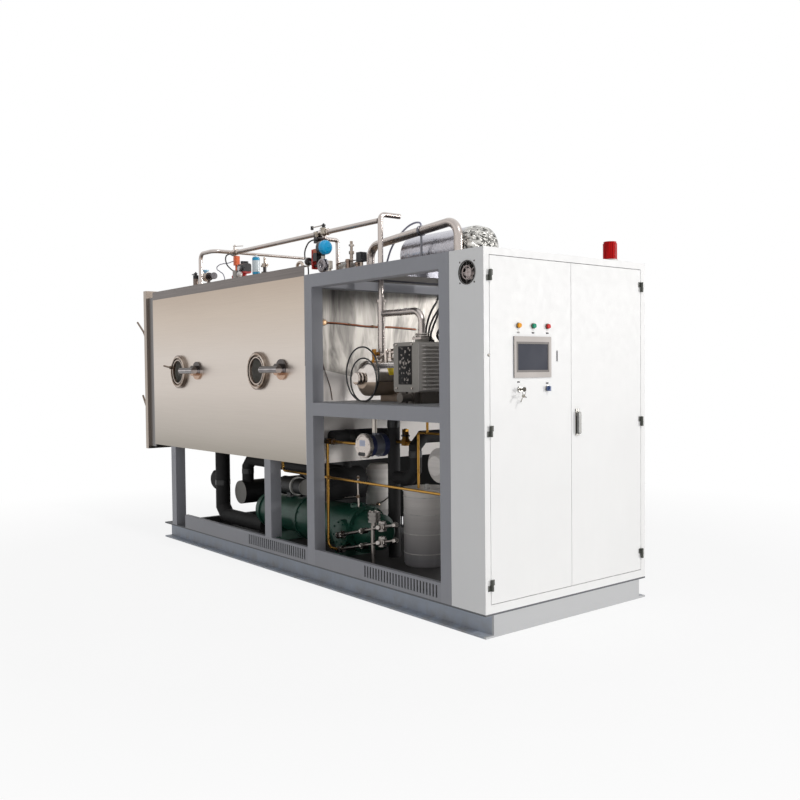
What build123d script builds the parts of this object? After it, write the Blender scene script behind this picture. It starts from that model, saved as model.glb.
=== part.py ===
from build123d import *
import os

os.makedirs("parts", exist_ok=True)

# Skid-mounted vacuum freeze dryer, in millimetres.
# +X is the control cabinet's door side, -X the chamber door, -Y the side with the sight glasses, +Z up.
# The origin is the centre of the skid's footprint, on the ground.

# ------------------------------------------------------------------ driving sizes
skid_width = 1280.0
beam = 120.0                # height and flange width of the skid beams
beam_web = 8.0
beam_flange = 10.0

cabinet_depth = 248.0
cabinet_height = 1800.0
sheet = 3.0                 # wall of the cabinet, its doors and the louvred panels
door_gap = 3.0
door_thick = 24.0
rim = 37.0                  # cabinet's front rim round the doors

tube = 80.0                 # square frame tube
tube_wall = 4.0
bay_length = 1340.0         # machinery bay, over its two posts
deck_height = 1130.0        # top of the middle beams
frame_top = beam + cabinet_height
louvre_height = 100.0
slot_pitch = 26.0
slot_width = 12.0

chamber_length = 2275.0
chamber_overhang = 165.0    # chamber past the skid's end
chamber_bottom = 740.0
roof_drop = 5.0             # chamber's roof below the frame's top
skin = 2.0
chamber_wall = 88.0         # vessel wall with its insulation
flange_length = 110.0
flange_inset = 10.0
door_plate = 50.0
door_overhang = 42.0

sight_radius = 128.0
sight_height = chamber_bottom + 590.0
sight_clear = 95.0
sight_proud = 26.0

shelf_count = 6
shelf_thick = 22.0

run_gap = 0.3               # between pieces that turn on each other
pin_gap = 0.05              # radial play of a pin in its bore
join_gap = 2.0              # sheet-metal joint between the cabinet and the bay's frame

# ------------------------------------------------------------------ reference planes
skid_length = cabinet_depth + join_gap + bay_length + chamber_length - chamber_overhang
x_front = skid_length / 2
x_rear = -skid_length / 2
y_near = -skid_width / 2
y_far = skid_width / 2
x_cabinet = x_front - cabinet_depth
x_bay = x_cabinet - join_gap - bay_length
x_chamber = x_bay - chamber_length
x_flange = x_chamber - flange_length
x_door = x_flange - door_plate
chamber_top = frame_top - roof_drop
pan_top = beam + 4.0
deck_top = deck_height + 5.0


# ------------------------------------------------------------------ helpers
def block(x0, x1, y0, y1, z0, z1):
    """A plain block between two opposite corners."""
    centre = Pos((x0 + x1) / 2, (y0 + y1) / 2, (z0 + z1) / 2)
    return centre * Box(x1 - x0, y1 - y0, z1 - z0)


def rod(start, end, radius, bore=0.0):
    """A straight round bar, or a tube where a bore is given."""
    way = Vector(*end) - Vector(*start)
    section = Circle(radius)
    if bore:
        section -= Circle(bore)
    return extrude(Plane(origin=start, z_dir=way) * section, way.length)


def square_tube(x0, x1, y0, y1, z0, z1, along, wall=tube_wall):
    """A hollow square tube, open at its two ends, which run along X, Y or Z."""
    inset = {"X": (0, wall, wall), "Y": (wall, 0, wall), "Z": (wall, wall, 0)}[along]
    ix, iy, iz = inset
    outer = block(x0, x1, y0, y1, z0, z1)
    return outer - block(x0 + ix, x1 - ix, y0 + iy, y1 - iy, z0 + iz, z1 - iz)


def turned(outline, origin, along, radial=None):
    """A turned piece: outline is a list of (place along the axis, radius), starting and ending on the axis."""
    axis = Vector(*along)
    if radial is None:
        radial = (0, 0, 1) if abs(axis.Z) < 0.5 else (1, 0, 0)
    side = Vector(*radial)
    plane = Plane(origin=origin, x_dir=side, z_dir=side.cross(axis))
    face = plane * make_face(Polyline(*[(r, s) for s, r in outline], close=True))
    return revolve(face, Axis(origin, along))


def ring(origin, along, length, radius, bore):
    """A plain ring or flange."""
    start = Vector(*origin)
    return rod(start, start + Vector(*along) * length, radius, bore)


def pipe(points, bend, radius, bore=0.0):
    """A bent pipe: straight runs joined by round bends."""
    path = FilletPolyline(*points, radius=bend) if len(points) > 2 else Line(*points)
    section = Circle(radius)
    if bore:
        section -= Circle(bore)
    return sweep(Plane(origin=path @ 0, z_dir=path % 0) * section, path=path)


def lagged_pipe(points, cut, radius):
    """A pipe in foam lagging: straight lengths joined by two mitres at each corner."""
    route = [Vector(*points[0])]
    for before, corner, after in zip(points, points[1:], points[2:]):
        corner = Vector(*corner)
        for end in (before, after):
            route.append(corner + (Vector(*end) - corner).normalized() * cut)
    route.append(Vector(*points[-1]))
    path = Polyline(*route)
    section = Plane(origin=path @ 0, z_dir=route[1] - route[0]) * Circle(radius)
    return sweep(section, path=path, transition=Transition.RIGHT)


def save(name, *solids):
    """Write one node, as one solid or as a group of separate solids."""
    body = solids[0] if len(solids) == 1 else Compound(children=list(solids))
    export_step(body, f"parts/{name}.step")


# ------------------------------------------------------------------ skid
def h_section():
    """The rolled section of the skid beams, standing on the ground."""
    return (
        Pos(0, beam_flange / 2) * Rectangle(beam, beam_flange)
        + Pos(0, beam / 2) * Rectangle(beam_web, beam - 2 * beam_flange)
        + Pos(0, beam - beam_flange / 2) * Rectangle(beam, beam_flange)
    )


def side_beam(y):
    return extrude(Plane(origin=(x_rear, y, 0), x_dir=(0, 1, 0), z_dir=(1, 0, 0)) * h_section(), skid_length)


y_web_near = y_near + beam / 2
y_web_far = y_far - beam / 2
save("skid_beams", side_beam(y_web_near), side_beam(y_web_far))

inside = beam_flange        # cross members fit between the beams' flanges
half_span = y_web_far - beam_web / 2
full_span = y_far - beam


def end_channel(x_face, inward):
    """A channel across one end, its web outwards and its ends let in between the beams' flanges."""
    web = block(*sorted((x_face, x_face + inward * beam_web)), -half_span, half_span, inside, beam - inside)
    low = block(*sorted((x_face, x_face + inward * 60)), -full_span, full_span, 0, inside)
    high = block(*sorted((x_face, x_face + inward * 60)), -full_span, full_span, beam - inside, beam)
    return web + low + high


def cross_beam(x):
    """An inner cross member: a beam of the same depth, coped to fit between the side beams."""
    web = block(x - beam_web / 2, x + beam_web / 2, -half_span, half_span, inside, beam - inside)
    low = block(x - beam / 2, x + beam / 2, -full_span, full_span, 0, inside)
    high = block(x - beam / 2, x + beam / 2, -full_span, full_span, beam - inside, beam)
    return web + low + high


cross_places = (x_chamber + 345, x_chamber + 1115, x_bay - 260, x_bay + 250, x_cabinet - 330)
save(
    "skid_cross_members",
    end_channel(x_front, -1),
    end_channel(x_rear, 1),
    *[cross_beam(x) for x in cross_places],
)

# ------------------------------------------------------------------ frame
bay_posts = (x_bay, x_cabinet - join_gap - tube)
end_post = x_chamber + 305
mid_post = x_bay - 520
mid_post_foot = beam + louvre_height
posts = []
for y0 in (y_near, y_far - tube):
    for x in bay_posts:
        posts.append(square_tube(x, x + tube, y0, y0 + tube, beam, frame_top, "Z"))
    posts.append(square_tube(end_post, end_post + tube, y0, y0 + tube, beam, chamber_bottom, "Z"))
    posts.append(square_tube(mid_post, mid_post + tube, y0, y0 + tube, mid_post_foot, chamber_bottom, "Z"))
save("frame_posts", *posts)

bay_in0 = x_bay + tube
bay_in1 = x_cabinet - join_gap - tube
beams = []
for y0 in (y_near, y_far - tube):
    for top in (frame_top, deck_height):
        beams.append(square_tube(bay_in0, bay_in1, y0, y0 + tube, top - tube, top, "X"))
for x in bay_posts:
    for top in (frame_top, deck_height):
        beams.append(square_tube(x, x + tube, y_near + tube, y_far - tube, top - tube, top, "Y"))
save("frame_beams", *beams)

# louvred sheet panels along the foot of the frame, folded in at the top, and a closing panel on the far side
panel_lip = 28.0
pan_start = end_post + tube + 150


def louvre_panel(x0, x1, y_face, inward, slots_from):
    """A folded panel with a row of upright slots from slots_from to its right end."""
    wall = block(x0, x1, *sorted((y_face, y_face + inward * sheet)), beam, beam + louvre_height)
    lip = block(x0, x1, *sorted((y_face, y_face + inward * panel_lip)), mid_post_foot - sheet, mid_post_foot)
    panel = wall + lip
    count = int((x1 - 30 - slots_from) // slot_pitch)
    cuts = [
        block(x1 - 30 - i * slot_pitch - slot_width, x1 - 30 - i * slot_pitch,
              y_face - 2 * panel_lip, y_face + 2 * panel_lip, beam + 18, beam + louvre_height - 16)
        for i in range(count)
    ]
    return panel - cuts


save(
    "louvre_panels",
    *[
        panel
        for y_face, inward in ((y_near, 1), (y_far, -1))
        for panel in (
            louvre_panel(pan_start, x_bay, y_face, inward, x_bay - 780),
            louvre_panel(bay_in0, bay_in1, y_face, inward, bay_in0 + 480),
        )
    ],
    block(end_post, x_bay, y_far - tube - sheet, y_far - tube, mid_post_foot, chamber_bottom),
)

# floor pan between the posts, and the pump deck on the middle beams
pan_side = y_far - tube - 4
floor_pan = block(pan_start, x_cabinet - 4, -pan_side, pan_side, beam, pan_top)
pan_lip = block(pan_start, pan_start + sheet, -pan_side, pan_side, pan_top, beam + 60)
pump_deck = block(bay_in0 + 1, bay_in1 - 1, y_near + tube / 2, y_far - tube / 2, deck_height, deck_top)
save("deck_plates", floor_pan, pan_lip, pump_deck)

# ------------------------------------------------------------------ chamber
sight_places = (x_chamber + 495, x_bay - 573)
vessel_outer = (x_chamber, x_bay - skin, y_near + skin, y_far - skin, chamber_bottom + skin,
                chamber_top - skin)
cladding = block(x_chamber, x_bay, y_near, y_far, chamber_bottom, chamber_top) - block(*vessel_outer)
cavity = (
    x_chamber,
    x_bay - skin - chamber_wall,
    y_near + skin + chamber_wall,
    y_far - skin - chamber_wall,
    chamber_bottom + skin + chamber_wall,
    chamber_top - skin - chamber_wall,
)
vessel = block(*vessel_outer) - block(*cavity)
for x in sight_places:
    bore = rod((x, y_near - 5, sight_height), (x, y_near + skin + chamber_wall + 5, sight_height),
               sight_clear)
    cladding -= bore
    vessel -= bore
save("chamber_cladding", cladding)
save("chamber_vessel", vessel)

flange_y = y_far - flange_inset
flange_z0 = chamber_bottom - 20
flange_z1 = chamber_top + 25
mouth = (cavity[2], cavity[3], cavity[4], cavity[5])
flange = block(x_flange, x_chamber, -flange_y, flange_y, flange_z0, flange_z1)
flange -= block(x_flange - 1, x_chamber + 1, *mouth)
save("chamber_flange", flange)

# folded edge rails along both sides of the chamber's roof
rail_height = 65.0
rail_width = 45.0


def edge_rail(y_face, inward):
    upright = block(x_chamber, x_bay, *sorted((y_face, y_face + inward * sheet)), chamber_top,
                    chamber_top + rail_height)
    top = block(x_chamber, x_bay, *sorted((y_face, y_face + inward * rail_width)),
                chamber_top + rail_height - sheet, chamber_top + rail_height)
    return upright + top


save("roof_edge_rails", edge_rail(y_near, 1), edge_rail(y_far, -1))

# shelves on four corner guides inside the chamber, and the ice condenser plates behind them
shelf_x0 = x_chamber + 60
shelf_x1 = x_bay - 620
shelf_y = cavity[3] - 60
shelf_z0 = cavity[4] + 110
shelf_pitch = (cavity[5] - cavity[4]) / (shelf_count + 1.1)
guide = 30.0
shelves = []
for i in range(shelf_count):
    z = shelf_z0 + i * shelf_pitch
    shelves.append(block(shelf_x0, shelf_x1, -shelf_y + guide, shelf_y - guide, z, z + shelf_thick))
guides = []
for x in (shelf_x0 + 120, shelf_x1 - 120 - guide):
    for y in (-shelf_y, shelf_y - guide):
        guides.append(block(x, x + guide, y, y + guide, cavity[4], cavity[5]))
plate_x0 = x_bay - 520
plate_x1 = x_bay - 180
plate_pitch = 130
condenser = [
    block(plate_x0, plate_x1, i * plate_pitch - 8, i * plate_pitch + 8, cavity[4],
          cavity[5] - 80) for i in range(-3, 4)
]
save("shelf_stack", *shelves, *guides, *condenser)

# sight glasses: a clamped ring, its pane, and a lamp on an arm beside it
lamp_radius = 24.0
rings = []
panes = []
lamps = []
for x in sight_places:
    face = (x, y_near, sight_height)
    body = turned(
        [(0, sight_clear), (0, sight_radius), (sight_proud - 8, sight_radius),
         (sight_proud - 8, sight_radius - 9),
         (sight_proud, sight_radius - 9), (sight_proud, sight_clear + 12), (8, sight_clear + 12),
         (8, sight_clear)],
        face, (0, -1, 0),
    )
    rings.append(body)
    panes.append(ring((x, y_near + skin + chamber_wall, sight_height), (0, -1, 0), 18,
                      sight_clear - run_gap, 0))
    lamp_x = x + sight_radius + 170
    lamp_z = sight_height + 7
    lamp_y = y_near - 50
    plate = ring((lamp_x, y_near, lamp_z), (0, -1, 0), 12, 67, 0) + ring((lamp_x, y_near, lamp_z),
            (0, -1, 0), 50, 38, 0)
    barrel = ring((x + sight_radius - 10, lamp_y, lamp_z), (1, 0, 0), lamp_x + 42 - x - sight_radius + 10,
                  lamp_radius, 0)
    lamps.append(plate + barrel)
save("sight_glass_rings", *rings)
save("sight_glass_panes", *panes)
save("sight_lamps", *lamps)

# wiper lever of the first sight glass, on a small boss at the ring's left
wiper_x = sight_places[0] - 104
wiper_z = sight_height + 34
wiper_y = y_near - sight_proud - 14
save(
    "wiper_lever",
    rod((wiper_x, wiper_y, wiper_z), (wiper_x, y_near - sight_proud - run_gap, wiper_z), 13)
    + rod((wiper_x, wiper_y + 4, wiper_z), (wiper_x - 62, wiper_y - 20, wiper_z + 14), 7),
)

# ------------------------------------------------------------------ chamber door
door_y = y_far + door_overhang - 32
door_z0 = flange_z0 - 23
door_z1 = chamber_top + 85
door_in = x_flange - run_gap
seal_width = 14.0
seal_depth = 8.0
seal_inset = 30.0
seal_y = mouth[1] + seal_inset
seal_z0 = mouth[2] - seal_inset
seal_z1 = mouth[3] + seal_inset


def seal_frame(x0, x1):
    outer = block(x0, x1, -seal_y - seal_width, seal_y + seal_width, seal_z0 - seal_width,
                  seal_z1 + seal_width)
    return outer - block(x0 - 1, x1 + 1, -seal_y, seal_y, seal_z0, seal_z1)


door_skin = block(x_door, door_in, -door_y, door_y, door_z0, door_z1)
dished = block(x_door - 1, x_door + 16, -door_y + 60, door_y - 60, door_z0 + 60, door_z1 - 60)
chamber_door = door_skin - dished - seal_frame(door_in - seal_depth, door_in + 1)
save("door_seal", seal_frame(door_in - seal_depth, door_in))

# hinges on the far edge: a barrel on each of two brackets, and a leaf from the door to the pin
hinge_x = x_flange - 26
hinge_y = door_y + 34
hinge_pin = 14.0
hinge_heights = (chamber_bottom + 190, chamber_top - 190)
brackets = []
leaves = []
pins = []
for z in hinge_heights:
    knuckle = ring((hinge_x, hinge_y, z - 90), (0, 0, 1), 60, 26, hinge_pin + pin_gap)
    strap = block(hinge_x, x_flange + 90, flange_y, flange_y + 14, z - 90, z - 30)
    bridge = block(hinge_x + 6, hinge_x + 40, flange_y, hinge_y, z - 90, z - 30)
    bore = rod((hinge_x, hinge_y, z - 100), (hinge_x, hinge_y, z + 100), hinge_pin + pin_gap)
    brackets.append(strap + bridge + knuckle - bore - block(hinge_x - 60, x_flange + run_gap, -door_y,
            door_y + 1, z - 100, z))
    leaf = block(x_door - 14, x_door, door_y - 160, door_y + 6, z - 28, z + 60)
    wrap = block(x_door - 14, hinge_x + 6, door_y + 4, hinge_y, z - 28, z + 60)
    leaves.append(leaf + wrap + ring((hinge_x, hinge_y, z - 28), (0, 0, 1), 88, 26, 0) - bore)
    pins.append(rod((hinge_x, hinge_y, z - 96), (hinge_x, hinge_y, z + 66), hinge_pin))
save("door_hinge_brackets", *brackets)
save("door_hinge_leaves", *leaves, *pins)

# clamp levers on the near edge of the door, each turning on a boss
clamp_y = -door_y + 46
clamp_bolt = 12.0
clamp_radius = 8.0
upper_z = chamber_top - 315
lower_z = chamber_bottom + 285
bosses = []
for z in (upper_z, lower_z):
    bosses.append(ring((x_door, clamp_y, z), (-1, 0, 0), 18, 24, 0) + ring((x_door - 18, clamp_y, z),
            (-1, 0, 0), 26, clamp_bolt, 0))
save("chamber_door", chamber_door, *bosses)


def clamp_lever(z, points, bend):
    """A bent rod lever with an eye that turns on the boss's bolt."""
    eye = ring((x_door - 18 - run_gap, clamp_y, z), (-1, 0, 0), 22, 22, clamp_bolt + pin_gap)
    inner = rod((x_door - 10, clamp_y, z), (x_door - 50, clamp_y, z), clamp_bolt + pin_gap)
    return eye + (pipe(points, bend, clamp_radius) - inner)


x_eye = x_door - 18 - run_gap - 11
save(
    "upper_clamp_lever",
    clamp_lever(upper_z, [(x_eye, clamp_y - 16, upper_z), (x_eye, clamp_y - 34, upper_z + 60),
                          (x_eye - 130, clamp_y - 34, upper_z + 150)], 30),
)
save(
    "lower_clamp_lever",
    clamp_lever(lower_z, [(x_eye, clamp_y - 16, lower_z), (x_eye, clamp_y - 32, lower_z + 45),
                          (x_eye - 50, clamp_y - 32, lower_z + 110)], 28),
)

# ------------------------------------------------------------------ control cabinet
cab_z0 = beam
cab_z1 = frame_top
x_rim = x_front - door_thick
panels = [
    block(x_cabinet, x_front, y_near, y_far, cab_z0, cab_z0 + sheet),
    block(x_cabinet, x_front, y_near, y_far, cab_z1 - sheet, cab_z1),
    block(x_cabinet, x_front, y_near, y_near + sheet, cab_z0 + sheet, cab_z1 - sheet),
    block(x_cabinet, x_front, y_far - sheet, y_far, cab_z0 + sheet, cab_z1 - sheet),
    block(x_cabinet, x_cabinet + sheet, y_near + sheet, y_far - sheet, cab_z0 + sheet, cab_z1 - sheet),
]
rim_bars = [
    block(x_front - sheet, x_front, y_near + sheet, y_near + rim, cab_z0 + sheet, cab_z1 - sheet),
    block(x_front - sheet, x_front, y_far - rim, y_far - sheet, cab_z0 + sheet, cab_z1 - sheet),
    block(x_front - sheet, x_front, y_near + rim, y_far - rim, cab_z0 + sheet, cab_z0 + rim + 6),
    block(x_front - sheet, x_front, y_near + rim, y_far - rim, cab_z1 - rim, cab_z1 - sheet),
]
fan_x = x_front - 116
fan_z = cab_z1 - 117
fan_radius = 58.0
fan_y = y_near + sheet
panels[2] -= rod((fan_x, y_near - 1, fan_z), (fan_x, fan_y + 1, fan_z), fan_radius - 2)
rails = [
    block(x_cabinet + sheet, x_cabinet + 28, y - 15, y + 15, cab_z0 + 80,
          cab_z1 - 60) for y in (y_near + 150, y_far - 150)
]
mounting_plate = block(x_cabinet + 28, x_cabinet + 31, y_near + 60, y_far - 60, cab_z0 + 80, cab_z1 - 60)
save("cabinet_panels", *panels, *rim_bars, mounting_plate, *rails)

split = 0.0
door_low = cab_z0 + rim + 6 + door_gap
door_high = cab_z1 - rim - door_gap


def cabinet_door(y0, y1):
    """A door pan: a flat face with folded edges, open at the back."""
    face = block(x_front - sheet, x_front, y0, y1, door_low, door_high)
    edge = block(x_rim, x_front - sheet, y0, y1, door_low, door_high)
    edge -= block(x_rim - 1, x_front - sheet + 1, y0 + sheet, y1 - sheet, door_low + sheet, door_high - sheet)
    return face + edge


near_edge = y_near + rim + door_gap
far_edge = y_far - rim - door_gap
left_door = cabinet_door(near_edge, split - door_gap / 2)
right_door = cabinet_door(split + door_gap / 2, far_edge)

# touch panel, lamps and switches on the left door
hmi_y = y_near + 341
hmi_z = 1384.0
hmi_width = 274.0
hmi_height = 208.0
left_door -= block(x_front - 10, x_front + 1, hmi_y - hmi_width / 2 + 12, hmi_y + hmi_width / 2 - 12,
                   hmi_z - hmi_height / 2 + 12, hmi_z + hmi_height / 2 - 12)
touch_body = block(x_front - 45, x_front, hmi_y - hmi_width / 2 + 12 + run_gap,
                   hmi_y + hmi_width / 2 - 12 - run_gap,
                   hmi_z - hmi_height / 2 + 12 + run_gap, hmi_z + hmi_height / 2 - 12 - run_gap)
bezel = block(x_front, x_front + 6, hmi_y - hmi_width / 2, hmi_y + hmi_width / 2, hmi_z - hmi_height / 2,
              hmi_z + hmi_height / 2)
bezel -= block(x_front + 4, x_front + 7, hmi_y - 110, hmi_y + 110, hmi_z - 66, hmi_z + 66)
save("touch_panel", touch_body + bezel)

panel_hole = 11.2
lamp_row = 1542.0
lamp_places = (y_near + 239, y_near + 347, y_near + 454)
lamp_heads = []
for y in lamp_places:
    left_door -= rod((x_front - 6, y, lamp_row), (x_front + 1, y, lamp_row), panel_hole)
    lamp_heads.append(turned([(-40, 0), (-40, 11), (0, 11), (0, 14.5), (5, 14.5), (5, 11.5), (15, 11.5),
                              (15, 0)],
                             (x_front, y, lamp_row), (1, 0, 0)))
save("indicator_lamps", *lamp_heads)

switch_row = 1222.0
key_y = y_near + 246
knob_y = y_near + 451
collars = []
for y in (key_y, knob_y):
    left_door -= rod((x_front - 6, y, switch_row), (x_front + 1, y, switch_row), panel_hole)
    collars.append(turned([(-40, 0), (-40, 11), (0, 11), (0, 15), (6, 15), (6, 9.1), (-30, 9.1), (-30, 0)],
                          (x_front, y, switch_row), (1, 0, 0)))
barrel = ring((x_front - 30 + run_gap, key_y, switch_row), (1, 0, 0), 36 - run_gap, 9.0, 0)
key = block(x_front + 6, x_front + 24, key_y - 1, key_y + 1, switch_row - 4, switch_row + 4)
bow = rod((x_front + 34, key_y - 1, switch_row), (x_front + 34, key_y + 1, switch_row), 12)
save("key_switch", barrel + key + bow)
knob_stem = ring((x_front - 30 + run_gap, knob_y, switch_row), (1, 0, 0), 37 - run_gap, 9.0, 0)
knob_head = ring((x_front + 6 + run_gap, knob_y, switch_row), (1, 0, 0), 9, 13, 0)
knob_grip = block(x_front + 15, x_front + 25, knob_y - 4, knob_y + 4, switch_row - 13, switch_row + 13)
save("selector_knob", knob_stem + knob_head + knob_grip)

# swing handle on the right door, beside the split
handle_y = split + 46
handle_z0 = 968.0
handle_z1 = 1110.0
handle_pivot = handle_z1 - 30
pivot_radius = 9.0
escutcheon = block(x_front, x_front + 5, handle_y - 15, handle_y + 15, handle_z0, handle_z1)
escutcheon += ring((x_front + 5, handle_y, handle_pivot), (1, 0, 0), 3, 13, 0)
handle_bore = rod((x_front - 40, handle_y, handle_pivot), (x_front + 30, handle_y, handle_pivot),
                  pivot_radius + pin_gap)
right_door -= rod((x_front - 6, handle_y, handle_pivot), (x_front + 1, handle_y, handle_pivot),
                  pivot_radius + 1)
grip = block(x_front + 8 + run_gap, x_front + 22, handle_y - 10, handle_y + 10, handle_z0 + 8,
             handle_pivot + 14)
grip = fillet(grip.edges().filter_by(Axis.X), 8)
grip += ring((x_front - 34, handle_y, handle_pivot), (1, 0, 0), 44, pivot_radius, 0)
cam = block(x_front - 34, x_front - 30, handle_y - 40, handle_y + 12, handle_pivot - 12, handle_pivot + 12)
save("door_handle", grip + cam)

# hinges: a leaf on the rim, a leaf on the door and a pin between them
cab_hinge_x = x_front + 9
hinge_rows = (cab_z0 + 141, (cab_z0 + cab_z1) / 2, cab_z1 - 137)
hinge_half = 27.0
cab_pin = 3.0
fixed_leaves = []
moving_leaves = {"left": [], "right": []}
for side, y, out in (("left", y_near + rim + door_gap / 2, -1), ("right", y_far - rim - door_gap / 2, 1)):
    for z in hinge_rows:
        core = ring((cab_hinge_x, y, z - hinge_half), (0, 0, 1), 2 * hinge_half, cab_pin, 0)
        for leaf_out, z0, z1, kind in ((out, z - hinge_half, z - run_gap, 0), (-out, z, z + hinge_half, 1)):
            plate = block(x_front, x_front + 5, *sorted((y + leaf_out * 1.0, y + leaf_out * 20)), z0, z1)
            knuckle = ring((cab_hinge_x, y, z0), (0, 0, 1), z1 - z0, 8, 0)
            web = block(x_front + 1, cab_hinge_x, *sorted((y + leaf_out * 1.0, y + leaf_out * 6)), z0, z1)
            if kind:
                bore = rod((cab_hinge_x, y, z - 40), (cab_hinge_x, y, z + 40), cab_pin + pin_gap)
                moving_leaves[side].append(plate + web + knuckle - bore)
            else:
                fixed_leaves.append(plate + web + knuckle + core)
save("cabinet_hinges", *fixed_leaves)
save("left_cabinet_door", left_door, *collars, *moving_leaves["left"])
save("right_cabinet_door", right_door, escutcheon - handle_bore, *moving_leaves["right"])

# fan in the cabinet's side: frame, guard and rotor
fan_depth = 38.0
hub = 20.0
frame = block(fan_x - 60, fan_x + 60, fan_y, fan_y + fan_depth, fan_z - 60, fan_z + 60)
frame -= rod((fan_x, fan_y - 1, fan_z), (fan_x, fan_y + fan_depth + 1, fan_z), fan_radius - 2)
motor = ring((fan_x, fan_y + fan_depth - 12, fan_z), (0, 1, 0), 12, hub + 3, 0)
struts = [
    block(*sorted((fan_x, fan_x + sx * 58)), fan_y + fan_depth - 5, fan_y + fan_depth, fan_z - 3,
          fan_z + 3) for sx in (-1, 1)
]
shaft = ring((fan_x, fan_y + 8, fan_z), (0, 1, 0), fan_depth - 20, 3, 0)
fan_frame = frame + motor + struts[0] + struts[1] + shaft
guard_rings = [
    ring((fan_x, y_near - 4, fan_z), (0, 1, 0), 4, r, r - 4) for r in (60, 34)
]
guard = guard_rings[0] + guard_rings[1]
guard += block(fan_x - 60, fan_x + 60, y_near - 2, y_near, fan_z - 2, fan_z + 2)
guard += block(fan_x - 2, fan_x + 2, y_near - 2, y_near, fan_z - 60, fan_z + 60)
save("fan_frame", fan_frame, guard)
rotor = ring((fan_x, fan_y + 4, fan_z), (0, 1, 0), fan_depth - 17, hub, 0)
for i in range(7):
    blade = block(-1.2, 1.2, 5, fan_depth - 15, hub - 2, fan_radius - 5)
    blade = Rot(0, 0, 32) * Pos(0, -fan_depth / 2 + 5, 0) * blade
    rotor += Pos(fan_x, fan_y + fan_depth / 2 - 4, fan_z) * Rot(0, i * 360 / 7, 0) * blade
rotor -= rod((fan_x, fan_y + 7, fan_z), (fan_x, fan_y + fan_depth, fan_z), 3 + pin_gap)
save("fan_rotor", rotor)

# warning beacon on the cabinet's roof
beacon_x = x_front - 130
beacon_y = y_far - 147
save(
    "beacon_base",
    turned([(0, 0), (0, 46), (18, 46), (18, 43), (25, 43), (25, 0)], (beacon_x, beacon_y, cab_z1), (0, 0, 1)),
)
save(
    "beacon_lens",
    turned([(0, 0), (0, 40), (90, 40), (90, 36), (101, 36), (101, 0)], (beacon_x, beacon_y, cab_z1 + 25),
           (0, 0, 1)),
)

# ------------------------------------------------------------------ pump deck machinery
# circulation pump: axis along Y, suction at the front, delivery upwards
pump_x = x_bay + 390
pump_z = deck_top + 142
pump_y = y_near + 100
delivery_y = pump_y + 200
pump_shell = turned(
    [(0, 0), (0, 34), (10, 34), (10, 24), (42, 24), (46, 60), (86, 106), (300, 106), (300, 112), (322, 112),
     (322, 0)],
    (pump_x, pump_y, pump_z), (0, 1, 0),
)
delivery = ring((pump_x, delivery_y, pump_z), (0, 0, 1), 128, 22,
                0) + ring((pump_x, delivery_y, pump_z + 118), (0, 0, 1), 10, 34, 0)
pump_foot = block(pump_x - 80, pump_x + 80, pump_y + 250, pump_y + 300, deck_top, pump_z - 60)
pump_motor = turned(
    [(0, 0), (0, 100), (16, 100), (16, 84), (200, 84), (200, 92), (246, 92), (246, 0)],
    (pump_x, pump_y + 322, pump_z), (0, 1, 0),
)
motor_foot = block(pump_x - 75, pump_x + 75, pump_y + 370, pump_y + 500, deck_top, pump_z - 60)
save("circulation_pump", pump_shell + delivery + pump_foot, pump_motor + motor_foot)

# rotary vacuum pump: cast housing with cooling fins, on feet, driven by a motor behind
vac_x0 = x_bay + 670
vac_x1 = vac_x0 + 255
vac_y0 = y_near + 170
vac_y1 = vac_y0 + 400
vac_z0 = deck_top + 65
vac_z1 = vac_z0 + 282
fin_pitch = 22.0
port_height = 18.0
inlet_x = vac_x0 + 100
inlet_z = vac_z1 + port_height
line_x1 = vac_x1 - 100
line_y = vac_y1 - 30
vac = block(vac_x0, vac_x1 - 30, vac_y0, vac_y1, vac_z0, vac_z1)
vac = chamfer(vac.edges().filter_by(Axis.Y), 8)
for i in range(12):
    z = vac_z0 + 14 + i * fin_pitch
    vac += block(vac_x1 - 32, vac_x1, vac_y0 + 26, vac_y1 - 10, z, z + 7)
vac += ring((inlet_x, delivery_y, vac_z1), (0, 0, 1), port_height, 40, 0)
vac += ring((line_x1, line_y, vac_z1), (0, 0, 1), port_height, 42, 0)
vac -= block(vac_x0 + 45, vac_x0 + 110, vac_y0 - 1, vac_y0 + 8, vac_z0 + 50, vac_z1 - 24)
vac_feet = [
    block(x, x + 60, vac_y0 + 30, vac_y1 - 20, deck_top, vac_z0) for x in (vac_x0 + 10, vac_x1 - 100)
]
vac += vac_feet[0] + vac_feet[1]
vac_motor = turned(
    [(0, 0), (0, 118), (16, 118), (16, 98), (215, 98), (215, 106), (268, 106), (268, 0)],
    ((vac_x0 + vac_x1) / 2 - 15, vac_y1, vac_z0 + 120), (0, 1, 0),
)
drain = turned(
    [(0, 0), (0, 30), (10, 30), (10, 22), (60, 22), (60, 28), (84, 28), (84, 0)],
    (vac_x1 - 95, vac_y0 - 2, vac_z0 - 30), (0, -1, 0),
)
exhaust_block = block(vac_x1 - 125, vac_x1 - 62, vac_y0 - 2, vac_y0 + 28, deck_top, vac_z0)
save("vacuum_pump", vac, vac_motor, drain + exhaust_block)

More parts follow.
